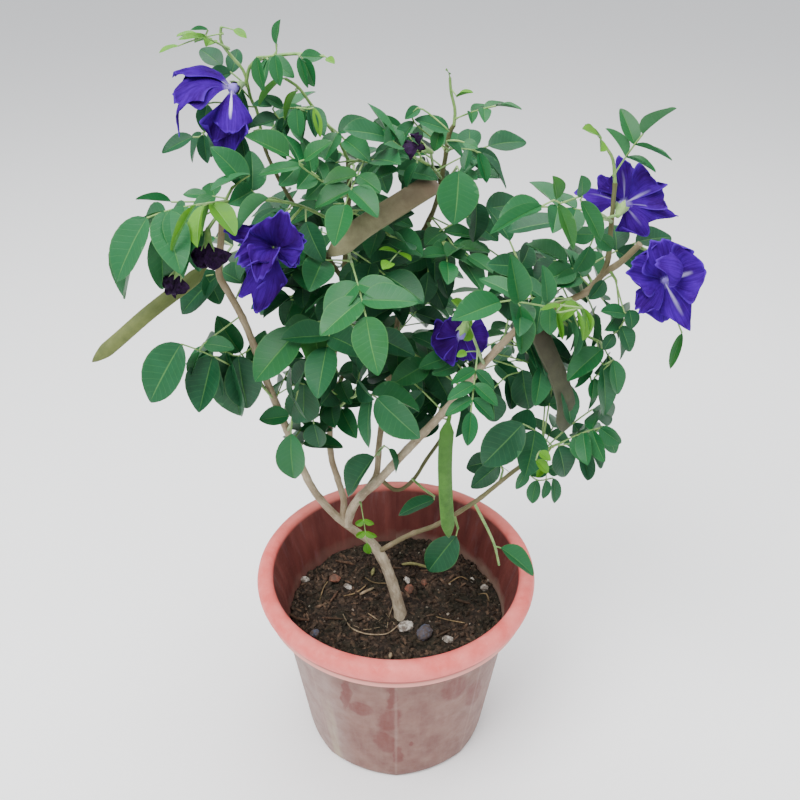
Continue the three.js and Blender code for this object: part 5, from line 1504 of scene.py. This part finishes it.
def bladeMarks(base, heading, look, length, ratio):
    # points over a leaflet, by which the thickets keep clear of it
    across = unit(np.cross(heading, look))
    return [base + heading * length * s - look * shootValues["arch"] * length * s * s
            + across * side * ovalHalf(s) * ratio * length
            for s in (0.12, 0.34, 0.56, 0.78, 0.98) for side in (-0.85, 0, 0.85)]


def shootPiece(name, stems, standing, draws):
    # leaflets are points that hold a turn, a size, a kind and a tone from young to old with painted
    # light and shade
    seeds = meshObject(name, [s[0] for s in standing], [], [])
    turns, sizes = [], []
    for _, heading, look, length, _, ratio in standing:
        across = unit(np.cross(heading, look))
        turns += list(Matrix([across, heading, look]).transposed().to_quaternion())
        wide = ratio * draws.uniform(0.92, 1.08)
        sizes += [wide * length * mm, length * mm, length * mm]
    setLayer(seeds, "turn", turns, "QUATERNION")
    setLayer(seeds, "size", sizes, "FLOAT_VECTOR", "vector")
    setLayer(seeds, "kind", [draws.randrange(shootValues["variants"]) for _ in standing], "INT")
    setLayer(seeds, "age", [s[4] for s in standing])
    setLayer(seeds, "draw", [draws.random() for _ in standing])
    lines = lineObject(name + "Stems", stems)
    growWith(seeds, shootMaker, Leaflets=leafletKinds, Stems=lines,
             Corners=shootValues["corners"], LeafMaterial=leafGreen, StemMaterial=stemGreen)
    shoot = flatten(seeds)
    bpy.data.objects.remove(lines)
    return shoot


def stalkLine(start, end, habit, radius):
    place, _ = leafStalk(start, end, habit)
    steps = max(4, round(norm(end - start) / shootValues["step"]))
    radii = [radius * (1.9 if k == 0 else 1.0) for k in range(steps + 1)]
    return [place(k / steps) for k in range(steps + 1)], radii


def makeShoot(name):
    v = shootValues
    route, leaves = shoots[name]
    carrier = carriers.get(name)
    lines = [shootLines[carrier]] if carrier else woodLines
    points = rooted([seen(p) for p in route], lines)
    chords = evenRoute(points, v["cadStep"])
    shootLines[name] = chords
    places = evenRoute(points, v["step"])
    stems = [(places, list(np.linspace(v["twigFoot"], v["twigTop"], len(places))))]
    solid = nearestOf([vert.co for vert in nodes[name].data.vertices])
    standing = []
    for k, leaf in enumerate(leaves):
        start = placeOn(chords, leaf[0])
        stalk = v["stalk"] * (0.75 if leaf[3] < 18 else 1)
        stems.append(stalkLine(start, seen(leaf[1]), leaf[4], stalk))
        side, ratio = rolledLeaves.get((name, k), (None, v["ratio"]))
        for blade in bladesOf(start, leaf):
            chosen = chosenBlade(blade, solid)
            if chosen and side:
                base, heading, _, length = chosen
                look = facing(side)
                chosen = base, heading, unit(look - heading * np.dot(look, heading)), length
            if chosen:
                standing.append((*chosen, v["agesAndShade"][leaf[5]], ratio))
    for first, (owner, along) in enumerate(innerLeaves):
        found = innerLeaf(chords, along, first, solid) if owner == name else None
        if found:
            start, end, blades = found
            stems.append(stalkLine(start, end, "level", v["stalk"]))
            # the leaves deep in the crown take the darkest tone, painted shade
            standing += [(*blade, v["agesAndShade"]["dark"], v["ratio"]) for blade in blades]
    for bloom in blooms.values():
        if bloom["on"][0] == name:
            start = placeOn(chords, bloom["on"][1])
            foot, mouth = calyxEnds(bloom)
            end = foot + (mouth - foot) * 0.2
            stems.append((list(np.linspace(start, end, 7)), [1.0] * 7))
    for base, heading, look, length, _, ratio in standing:
        taken.extend(bladeMarks(base, heading, look, length, ratio))
    shoot = shootPiece("shoot_" + name, stems, standing, random.Random(name))
    return keep(shoot, "leaf", name)


def makeOuter(name, carrier, along, depth, leaflets):
    # a leaf as the photograph shows it: each leaflet has its base, its tip, its width and its
    # tone from young to old with painted light and shade, in pixels at one depth, and the leaf
    # comes forward until it is clear of the others
    v = outerValues
    draws = random.Random(name)
    crowd = nearestOf(taken)
    best = None
    for shift in v["shifts"]:
        standing, marks = [], []
        for base, tip, width, age in leaflets:
            start = seen((*base, depth + shift))
            end = seen((*tip, depth + shift + v["forward"]))
            heading = unit(end - start)
            look = facing((draws.uniform(*v["lookAside"]), draws.uniform(*v["lookUp"]), 1))
            look = unit(look - heading * np.dot(look, heading))
            ratio = width / math.dist(base, tip)
            length = norm(end - start)
            standing.append((start, heading, look, length, shootValues["agesAndShade"][age], ratio))
            marks += bladeMarks(start, heading, look, length, ratio)
        gap = min(crowd.find(m)[2] for m in marks)
        if best is None or gap > best[0]:
            best = gap, standing, marks
        if gap > v["clear"]:
            break
    _, standing, marks = best
    taken.extend(marks)
    first = standing[0][0]
    foot = placeOn(shootLines[carrier], along) if carrier else np.array(branchTree.find(first)[0])
    route = [foot] + [blade[0] for blade in standing]
    places = evenRoute(route, shootValues["step"])
    radii = [shootValues["stalk"]] * len(places)
    piece = shootPiece("leaf_" + name, [(places, radii)], standing, draws)
    return keep(piece, "leaf")


def makeThicket(number, middle, reach, leaves):
    # leaves drawn at random in one thicket, each on its own twig from the nearest branch
    v = thicketValues
    draws = random.Random(v["seed"] + number)
    stems, standing = [], []
    crowd = nearestOf(taken)
    for _ in range(leaves * v["attempts"]):
        if len(stems) == leaves:
            break
        offset = unit(np.array([draws.gauss(0, 1) for _ in range(3)]))
        offset *= draws.random() ** v["crowding"]
        place = [m + r * o for m, r, o in zip(middle, reach, offset)]
        end = seen(place)
        near, _, gap = branchTree.find(end)
        habit, age = draws.choice(v["habits"]), draws.choice(v["agesAndShade"])
        pairs, length = draws.choice((1, 2)), draws.uniform(*v["lengths"])
        if not v["nearest"] < gap < v["farthest"]:
            continue
        near = np.array(near)
        blades = bladesOf(near, (0, place, pairs, length, habit, age))
        marks = np.array([m for blade in blades for m in bladeMarks(*blade, v["ratio"])])
        if withinThickets(marks) and all(crowd.find(m)[2] > v["clear"] for m in marks):
            taken.extend(marks)
            crowd = nearestOf(taken)
            stems.append(stalkLine(near, end, habit, shootValues["stalk"] * v["stalkShare"]))
            standing += [(*blade, age, v["ratio"]) for blade in blades]
    piece = shootPiece(f"thicket_{number}", stems, standing, draws)
    return keep(piece, "leaf")


def withinThickets(points):
    # whether the photograph would show every point over one of the thickets
    rays = points - np.array(view["eye"])
    depths = rays @ ahead
    columns = view["middleColumn"] + view["focal"] * rays[:, 0] / depths
    rows = view["middleRow"] - view["focal"] * (rays @ above) / depths
    over = np.zeros(len(points), bool)
    for middle, reach, _ in thicketValues["thickets"]:
        over |= (((columns - middle[0]) / reach[0]) ** 2 + ((rows - middle[1]) / reach[1]) ** 2
                 < thicketValues["margin"] ** 2)
    return over.all()


# A bloom stands on a shoot. A petal has its tip, its width, the side that its face looks to,
# how far it bows, cups and ruffles, how white its throat streak is and how pointed it is.
blooms = {
    "bloom_top_left": {
        "on": ("top_left_shoot", 0.53), "calyx": (242, 84, -12), "throat": (232, 89, -26),
        "petals": [
            ((178, 136, -40), 36, (-0.45, 0.75, 0.5), 0.36, -0.20, 1.5, 0, 0.3),
            ((173, 76, -14), 30, (-0.2, 0.9, 0.4), 0.22, -0.14, 1.2, 0, 0),
            ((172, 99, -34), 38, (-0.35, 0.5, 1), 0.20, -0.12, 1.4, 0, 0),
            ((213, 142, -34), 22, (-0.6, 0.1, 0.8), 0.03, -0.46, 0.8, 0, 0),
            ((230, 134, -50), 26, (0.0, 0.2, 1.0), 0.04, -0.34, 0.5, 2.4, 0),
            ((246, 137, -28), 22, (0.6, 0.1, 0.8), 0.03, -0.46, 0.8, 0, 0),
            ((224, 162, -32), 32, (0.1, 0.1, 1.0), 0.06, 0.40, 2.2, 0, 0.2)]},
    "bloom_left": {
        "on": ("left_runner", 0.5), "calyx": (276, 236, -66), "throat": (276, 250, -76),
        "petals": [
            ((284, 212, -88), 36, (0.2, 0.3, 1.0), 0.10, 0.24, 2.6, 0, 0),
            ((224, 229, -86), 26, (-0.2, 0.5, 0.9), 0.16, -0.30, 2.0, 0, 0.2),
            ((305, 238, -80), 30, (0.7, 0.2, 0.6), 0.14, 0.30, 1.8, 0, 0),
            ((236, 262, -104), 26, (-0.2, 0.0, 1.0), 0.16, 0.26, 2.2, 0, 0),
            ((240, 298, -92), 20, (-0.3, 0.0, 1.0), 0.06, -0.40, 1.2, 0, 0.2),
            ((256, 314, -90), 30, (0.3, -0.1, 0.9), 0.12, -0.36, 1.6, 0, 0.3),
            ((298, 266, -84), 20, (0.5, 0.1, 0.8), 0.10, 0.34, 1.4, 0, 0),
            ((258, 282, -110), 22, (-0.1, 0.4, 1.0), 0.24, 0.36, 1.6, 0, 0)]},
    "bloom_right_high": {
        "on": ("right_mid_shoot", 0.5), "calyx": (618, 215, -52), "throat": (623, 204, -36),
        "petals": [
            ((619, 155, -30), 30, (0.3, 0.1, 1.0), 0.10, -0.34, 1.0, 0.3, 0.4),
            ((574, 192, -30), 24, (-0.2, 0.5, 0.8), 0.08, -0.30, 1.2, 0.3, 0.2),
            ((661, 186, -20), 38, (0.1, 0.2, 1.0), 0.04, 0.26, 1.2, 0.5, 0),
            ((678, 217, -32), 26, (0.3, 0.3, 0.9), 0.10, -0.34, 1.2, 0.2, 0.5),
            ((648, 236, -46), 28, (0.1, -0.2, 1.0), 0.10, -0.34, 1.2, 0.2, 0.3),
            ((643, 173, 0), 38, (0.0, 0.2, 1.0), 0.08, 0.26, 1.4, 0.7, 0),
            ((598, 176, -24), 26, (-0.2, 0.3, 1.0), 0.10, -0.30, 1.2, 0.2, 0.3)]},
    "bloom_right_low": {
        "on": ("end_bloom", 1), "calyx": (655, 260, -50), "throat": (664, 281, -68),
        "petals": [
            ((628, 268, -72), 38, (-0.2, 0.2, 1.0), 0.12, 0.20, 2.4, 0, 0),
            ((656, 239, -66), 38, (-0.1, 0.4, 0.9), 0.12, 0.20, 2.4, 0, 0),
            ((706, 268, -78), 42, (0.3, 0.1, 1.0), 0.06, 0.26, 1.6, 1.3, 0),
            ((690, 331, -86), 38, (-0.1, -0.2, 1.0), 0.06, -0.20, 1.8, 0.7, 0.6),
            ((637, 312, -90), 20, (-0.3, -0.1, 0.9), 0.16, -0.44, 1.4, 0, 0),
            ((654, 262, -92), 24, (-0.1, 0.2, 1.0), 0.40, -0.30, 0.6, 0, 0),
            ((664, 322, -72), 32, (0.0, -0.1, 1.0), 0.06, 0.10, 2.0, 0, 0),
            ((686, 247, -64), 30, (0.2, 0.3, 1.0), 0.10, 0.16, 2.0, 0, 0)]},
    "bloom_centre": {
        "on": ("fern_shoot", 0.4), "calyx": (467, 320, -48), "throat": (461, 336, -42),
        "petals": [
            ((432, 347, -40), 38, (-0.2, 0.0, 1.0), 0.08, -0.12, 2.0, 0, 0),
            ((447, 319, -34), 34, (-0.1, 0.3, 0.9), 0.06, 0.12, 2.0, 0, 0),
            ((489, 339, -46), 32, (0.2, 0.1, 1.0), 0.08, -0.12, 2.0, 0, 0),
            ((467, 360, -44), 34, (0.0, -0.1, 1.0), 0.08, 0.10, 2.0, 0, 0)]},
    "withered_left": {
        "on": ("far_left", 0.5), "calyx": (208, 230, -84), "throat": (208, 243, -90),
        "petals": [
            ((199, 268, -96), 20, (0.2, 0.1, 1.0), 0.06, -0.36, 0.8, 0, 0),
            ((216, 270, -94), 20, (0.5, 0.1, 0.8), 0.08, 0.36, 0.8, 0, 0)]},
    "withered_far": {
        "on": ("far_left", 0.4), "calyx": (184, 260, -82), "throat": (178, 273, -85),
        "petals": [
            ((166, 294, -87), 15, (0.2, 0.1, 1.0), 0.08, -0.36, 0.8, 0, 0),
            ((175, 298, -86), 14, (0.8, 0.1, 0.6), 0.06, 0.36, 0.8, 0, 0)]},
    "withered_crown": {
        "on": ("crown_left", 0.4), "calyx": (431, 152, -22), "throat": (420, 147, -30),
        "petals": [
            ((403, 147, -33), 15, (0.2, 0.3, 1.0), 0.08, -0.34, 0.8, 0, 0),
            ((410, 134, -30), 14, (0.3, 0.9, 0.4), 0.06, 0.34, 0.8, 0, 0)]},
}
flowerValues = {
    "rows": 26, "columns": 22, "thickness": 0.35, "frill": 0.5, "calyxLobes": 5,
    "calyxCorners": 20, "calyxFoot": 1.3, "calyxFlare": 2.2, "calyxWall": 0.45,
    "calyxShares": [0, 0.06, 0.2, 0.4, 0.6, 0.8, 1.0, 1.18, 1.36], "witheredCalyx": 0.8,
    "clawSteps": 6, "clawCorners": 12, "clawRadius": 2.2, "clawFlare": 1.6, "markEach": 17,
    "shaded": {"bloom_left": 0.45, "bloom_centre": 0.7, "bloom_right_high": 0.2},
    # the claw's share of a petal's width, how far along it is widest and the notch in its tip,
    # then how deep petals crease and how long a crease is, withered and fresh
    "clawShare": 0.03, "widestAt": 0.75, "notch": 0.035, "creases": ((3.2, 5), (1.1, 9)),
}


def petalPoint(frame, u, v, fresh):
    throat, along, across, look, length, petal = frame
    _, width, _, bow, cup, ruffle, _, point = petal
    least, widestAt = flowerValues["clawShare"], flowerValues["widestAt"]
    spreadOut = least + (1 - least) * math.sin(math.pi / 2 * min(1, u / widestAt)) ** 1.4
    spreadOut *= 1 - 0.3 * max(0, (u - 0.72) / 0.28) ** 2
    blunt = (0.3 + point) * abs(v) ** (2 - point)
    notch = flowerValues["notch"] * (point == 0) * math.exp(-(v / 0.12) ** 2)
    reach = u * (1 - blunt * u) - notch * u ** 6
    lift = (bow * length * 4 * reach * (1 - reach) + cup * width * (spreadOut * v) ** 2
            + ruffle * u ** 1.5 * math.sin(2 * math.pi * v + width)
            + 0.45 * ruffle * u * math.sin(4.3 * math.pi * v + 0.7 * width))
    frill = flowerValues["frill"] * ruffle * u ** 3
    lift += frill * math.sin(4.5 * math.pi * v + 2.1 * width + 2 * u)
    point = throat + along * length * reach + across * 0.5 * width * spreadOut * v + look * lift
    crease, size = flowerValues["creases"][fresh]
    wrinkle = noise.noise(Vector(point / size) + Vector((width, 0, 0)))
    return point + look * crease * wrinkle * u


def petalObject(name, throat, petal, fresh, shaded, material):
    tip = seen(petal[0])
    along = unit(tip - throat)
    across = unit(np.cross(along, facing(petal[2])))
    look = unit(np.cross(across, along))
    frame = (throat, along, across, look, norm(tip - throat), petal)
    rows, columns = flowerValues["rows"], flowerValues["columns"]
    points, maps = [], []
    for row in range(rows + 1):
        for column in range(columns + 1):
            u, v = row / rows, 2 * column / columns - 1
            points.append(petalPoint(frame, max(0.02, u), v, fresh))
            maps.append((0.5 + 0.5 * v, u))
    faces = ringFaces(rows + 1, columns + 1, closed=False)
    piece = meshObject(name, points, faces, [material])
    setMap(piece, "petalMap", maps)
    for layer, value in (("streak", petal[6]), ("shaded", shaded)):
        setLayer(piece, layer, [value] * len(points))
    solidify = piece.modifiers.new("thickness", "SOLIDIFY")
    solidify.thickness = flowerValues["thickness"] * mm
    solidify.offset = 0
    return flatten(piece)


def petalMaterial():
    # velvety petals: matt with cell hairs, deep violet, with veins that fan from the claw
    material, tree, surface = newMaterial("velvetPetal")
    place = objectPlace(tree)
    flat = firstOf(tree, "ShaderNodeUVMap", uv_map="petalMap")
    parts = addNode(tree, "ShaderNodeSeparateXYZ", {0: flat}).outputs
    fan = firstOf(tree, "ShaderNodeMapping", {"Vector": flat, "Scale": (34, 2.2, 1)})
    veins = addNode(tree, "ShaderNodeTexNoise", {
        "Vector": fan, "Scale": 1.0, "Detail": 3.0, "Roughness": 0.6,
        "Distortion": 0.4}).outputs["Fac"]
    cloudy = grain(tree, place, 14, 3)
    body = blend(tree, limits(tree, cloudy, 0.35, 0.68), "#2d005e", "#40008f")
    body = blend(tree, limits(tree, veins, 0.52, 0.72, 0, 0.3), body, "#6010c0")
    body = blend(tree, limits(tree, veins, 0.3, 0.46, 0.55, 0), body, "#1f003e")
    # the bloom deep in the crown is the darkest
    shaded = attribute(tree, "shaded")
    body = blend(tree, shaded, body, "#22003c")
    # a white streak runs from the throat, brightest on the petals that show it
    middle = maths(tree, "ABSOLUTE", maths(tree, "MULTIPLY_ADD", parts[0], 2.0, -1.0))
    narrow = maths(tree, "MULTIPLY_ADD", parts[1], -0.16, 0.2)
    inStreak = maths(tree, "SUBTRACT", 1.0, maths(tree, "DIVIDE", middle, narrow))
    star = product(tree, limits(tree, parts[1], 0.3, 0.72, 1, 0), limits(tree, inStreak, 0.0, 0.8))
    star = product(tree, star, attribute(tree, "streak"))
    star = product(tree, star, limits(tree, veins, 0.3, 0.5, 0.45, 1))
    claw = limits(tree, parts[1], 0.04, 0.16, 0.5, 0)
    pale = limits(tree, maths(tree, "MAXIMUM", claw, star), 0, 1, 0, 0.9)
    body = blend(tree, pale, body, "#c9c2ee")
    # painted highlight: a paler line along the edges and the tip of each petal
    lip = maths(tree, "MAXIMUM", limits(tree, middle, 0.9, 1.0, 0, 0.4),
                limits(tree, parts[1], 0.94, 1.0, 0, 0.4))
    body = blend(tree, lip, body, "#6a34d8")
    coat(tree, surface, body, 0.6, 0.04)
    soft = bump(tree, surface, veins, 0.7, 0.7)
    bump(tree, surface, grain(tree, place, 3, 3), 0.5, 0.5, soft)
    return material


def witheredMaterial():
    # spent petals dry to a crumpled blackish purple paper
    material, tree, surface = newMaterial("driedPetal")
    place = objectPlace(tree)
    crumple = grain(tree, place, 3, 4, 0.6, 0.5)
    body = blend(tree, limits(tree, crumple, 0.35, 0.65), "#120818", "#2c1538")
    coat(tree, surface, body, 0.7, 0.1)
    bump(tree, surface, crumple, 0.8, 0.9)
    return material


def makeCalyx(name, bloom):
    # a green tube that opens into five pointed lobes
    v = flowerValues
    foot, mouth = calyxEnds(bloom)
    axis = unit(mouth - foot)
    corners, length, shares = v["calyxCorners"], norm(mouth - foot), v["calyxShares"]
    small = v["witheredCalyx"] if name.startswith("withered") else 1.0
    points = []
    for inside in (0, 1):
        for t in (shares if not inside else reversed(shares[2:])):
            for k in range(corners):
                turn = 2 * math.pi * k / corners
                lobe = 0.5 + 0.5 * math.cos(turn * v["calyxLobes"])
                radius = (v["calyxFoot"] + v["calyxFlare"] * t ** 0.6) * small
                along = t * length
                if t > 1:
                    along = length * (1 + (t - 1) * (0.1 + 1.2 * lobe ** 1.5))
                    radius += 1.0 * (t - 1) * 4 * lobe
                radius -= v["calyxWall"] * inside
                points.append(roundPoint(foot + axis * along, axis, turn, radius))
    piece = meshObject("calyx_" + name.removeprefix("bloom_"), points,
                       cappedFaces(len(points) // corners, corners), [stemGreen])
    return keep(piece, "leaf")


def makeBloom(name, bloom, materials):
    v = flowerValues
    fresh = name.startswith("bloom")
    throat = seen(bloom["throat"])
    foot, mouth = calyxEnds(bloom)
    inside = mouth + (foot - mouth) * 0.25
    shaded = v["shaded"].get(name, 0)
    members = [petalObject(f"{name}Petal{k}", throat, petal, fresh, shaded, materials[fresh])
               for k, petal in enumerate(bloom["petals"])]
    for member in members:
        marks = list(member.data.vertices)[::v["markEach"]]
        taken.extend(np.array(vert.co) / mm for vert in marks)
    beyond = throat + (throat - inside) * 0.15
    steps, corners = v["clawSteps"], v["clawCorners"]
    claw = evenRoute([inside, (inside + beyond) / 2, beyond], count=steps)
    axis = unit(beyond - inside)
    points = []
    for k, middle in enumerate(claw):
        radius = v["clawRadius"] + (v["clawFlare"] if fresh else 0.2) * k / steps
        radius *= 0.55 if k == steps else 1
        points += [roundPoint(middle, axis, 2 * math.pi * j / corners, radius)
                   for j in range(corners)]
    members.append(meshObject(name + "Claw", points, cappedFaces(steps + 1, corners),
                              [materials[fresh]]))
    flower = joined("flower_" + name, members)
    return keep(flower, "petal" if fresh else "withered_petal", name)


for shootName in shoots:
    makeShoot(shootName)
print("shoots made")

flowerMaterials = {True: petalMaterial(), False: witheredMaterial()}
for bloomName, bloomData in blooms.items():
    makeBloom(bloomName, bloomData, flowerMaterials)
    makeCalyx(bloomName, bloomData)
print("flowers made")
for line in woodFine:
    taken.extend(line)
for outerName, outer in outerLeaves.items():
    makeOuter(outerName, *outer)
for thicketNumber, thicket in enumerate(thicketValues["thickets"]):
    makeThicket(thicketNumber, *thicket)
print("thickets made, with", len(taken) // 15, "leaflets in all")


stoneValues = {
    "stone_pale": {"place": (9, -25, 137), "halves": (8, 6, 4.5), "turn": 0.4,
                   "colours": ("#b9b2a6", "#dcd7cd")},
    "stone_blue": {"place": (27, -33, 137), "halves": (9.5, 7, 5), "turn": 1.1,
                   "colours": ("#2c3444", "#56607a")},
    "brick_chip": {"place": (-62, 40, 137), "halves": (6, 4.5, 3.5), "turn": 0.2,
                   "colours": ("#7d4536", "#a8674f")},
}
# pebbles and brick crumbs: column, row, half sizes and the stone that each is like
pebbles = [
    (305, 581, (4.6, 3, 3), "stone_pale"), (348, 587, (2.6, 4.6, 2.6), "stone_pale"),
    (407, 580, (4.6, 3, 3), "stone_pale"), (409, 590, (5, 6, 4.4), "brick_chip"),
    (484, 589, (4, 4, 3), "stone_pale"), (472, 581, (3, 2.2, 2.2), "stone_pale"),
    (448, 642, (5.6, 3.4, 3), "stone_pale"), (315, 634, (5, 4, 3), "stone_blue"),
    (424, 584, (4, 3, 3), "brick_chip"),
]


def stoneMaterial(name, dark, pale):
    # rough broken stone, dusty
    material, tree, surface = newMaterial(name)
    place = objectPlace(tree)
    lumps = grain(tree, place, 4, 5, 0.65)
    body = blend(tree, limits(tree, lumps, 0.35, 0.65), dark, pale)
    soiled = limits(tree, grain(tree, place, 6, 5, 0.7), 0.36, 0.56, 0, 0.88)
    body = blend(tree, soiled, body, "#4b3c31")
    coat(tree, surface, body, 0.85)
    bump(tree, surface, lumps, 0.8, 0.7)
    return material


def makeStone(name, place, halves, turn, material):
    piece = placed(lumpMesh("pebble_" + name, halves, name, 0.12, 3))
    lean = Matrix.Rotation(turn, 4, "Z")
    for vert in piece.data.vertices:
        rough = 1 + 0.12 * noise.noise(vert.co / (4 * mm))
        vert.co = lean @ (vert.co * rough) + Vector(place) * mm
    piece.data.materials.append(material)
    smoothMesh(piece, 40)
    return piece


for stoneName, v in stoneValues.items():
    surfaceOfStone = stoneMaterial(stoneName + "Surface", *v["colours"])
    stoneSlot = "brick" if stoneName == "brick_chip" else stoneName
    keep(makeStone(stoneName, v["place"], v["halves"], v["turn"], surfaceOfStone), stoneSlot,
         stoneName)
    like = [makeStone(f"{stoneName}{k}", onSoil(column, row, 1.5), halves, k, surfaceOfStone)
            for k, (column, row, halves, kind) in enumerate(pebbles) if kind == stoneName]
    keep(joined("pebbles_" + stoneName, like), stoneSlot)
print("stones made")


stageValues = {
    "floor": "#ffffff", "floorHalf": 6.0, "sky": "#f4f6fa", "skyStrength": 0.9,
    "aimHeight": 0.35,
    "lamps": {
        "key": ((-0.7, -0.9, 2.0), 1.2, 58), "fill": ((1.3, -0.9, 1.5), 1.8, 12),
        "top": ((0.1, 0.4, 2.2), 1.6, 40),
    },
}


def makeStage():
    reach = stageValues["floorHalf"]
    stageAim = Vector((0, 0, stageValues["aimHeight"]))
    mesh = bpy.data.meshes.new("floor")
    mesh.from_pydata([(-reach, -reach, 0), (reach, -reach, 0), (reach, reach, 0),
                      (-reach, reach, 0)], [], [(0, 1, 2, 3)])
    floor = placed(bpy.data.objects.new("floor", mesh))
    material, tree, surface = newMaterial("paleFloor")
    coat(tree, surface, colour(stageValues["floor"]), 0.9)
    mesh.materials.append(material)
    for name, (place, size, power) in stageValues["lamps"].items():
        lamp = bpy.data.lights.new(name, "AREA")
        lamp.shape = "DISK"
        lamp.size = size
        lamp.energy = power
        holder = placed(bpy.data.objects.new(name, lamp))
        holder.location = place
        holder.rotation_mode = "QUATERNION"
        holder.rotation_quaternion = (stageAim - Vector(place)).to_track_quat("-Z", "Y")
    world = bpy.data.worlds.new("studio")
    world.use_nodes = True
    sky = world.node_tree.nodes["Background"]
    sky.inputs[0].default_value = colour(stageValues["sky"])
    sky.inputs[1].default_value = stageValues["skyStrength"]
    bpy.context.scene.world = world


def makeCamera():
    lens = bpy.data.cameras.new("camera")
    half = view["pixels"] / 2
    lens.sensor_fit = "HORIZONTAL"
    lens.angle = 2 * math.atan(half / view["focal"])
    lens.shift_x = (half - view["middleColumn"]) / view["pixels"]
    camera = placed(bpy.data.objects.new("camera", lens))
    camera.location = [c * mm for c in view["eye"]]
    camera.rotation_euler = (math.pi / 2 - dip, 0, 0)
    bpy.context.scene.camera = camera


makeStage()
makeCamera()
print("stage and camera made")
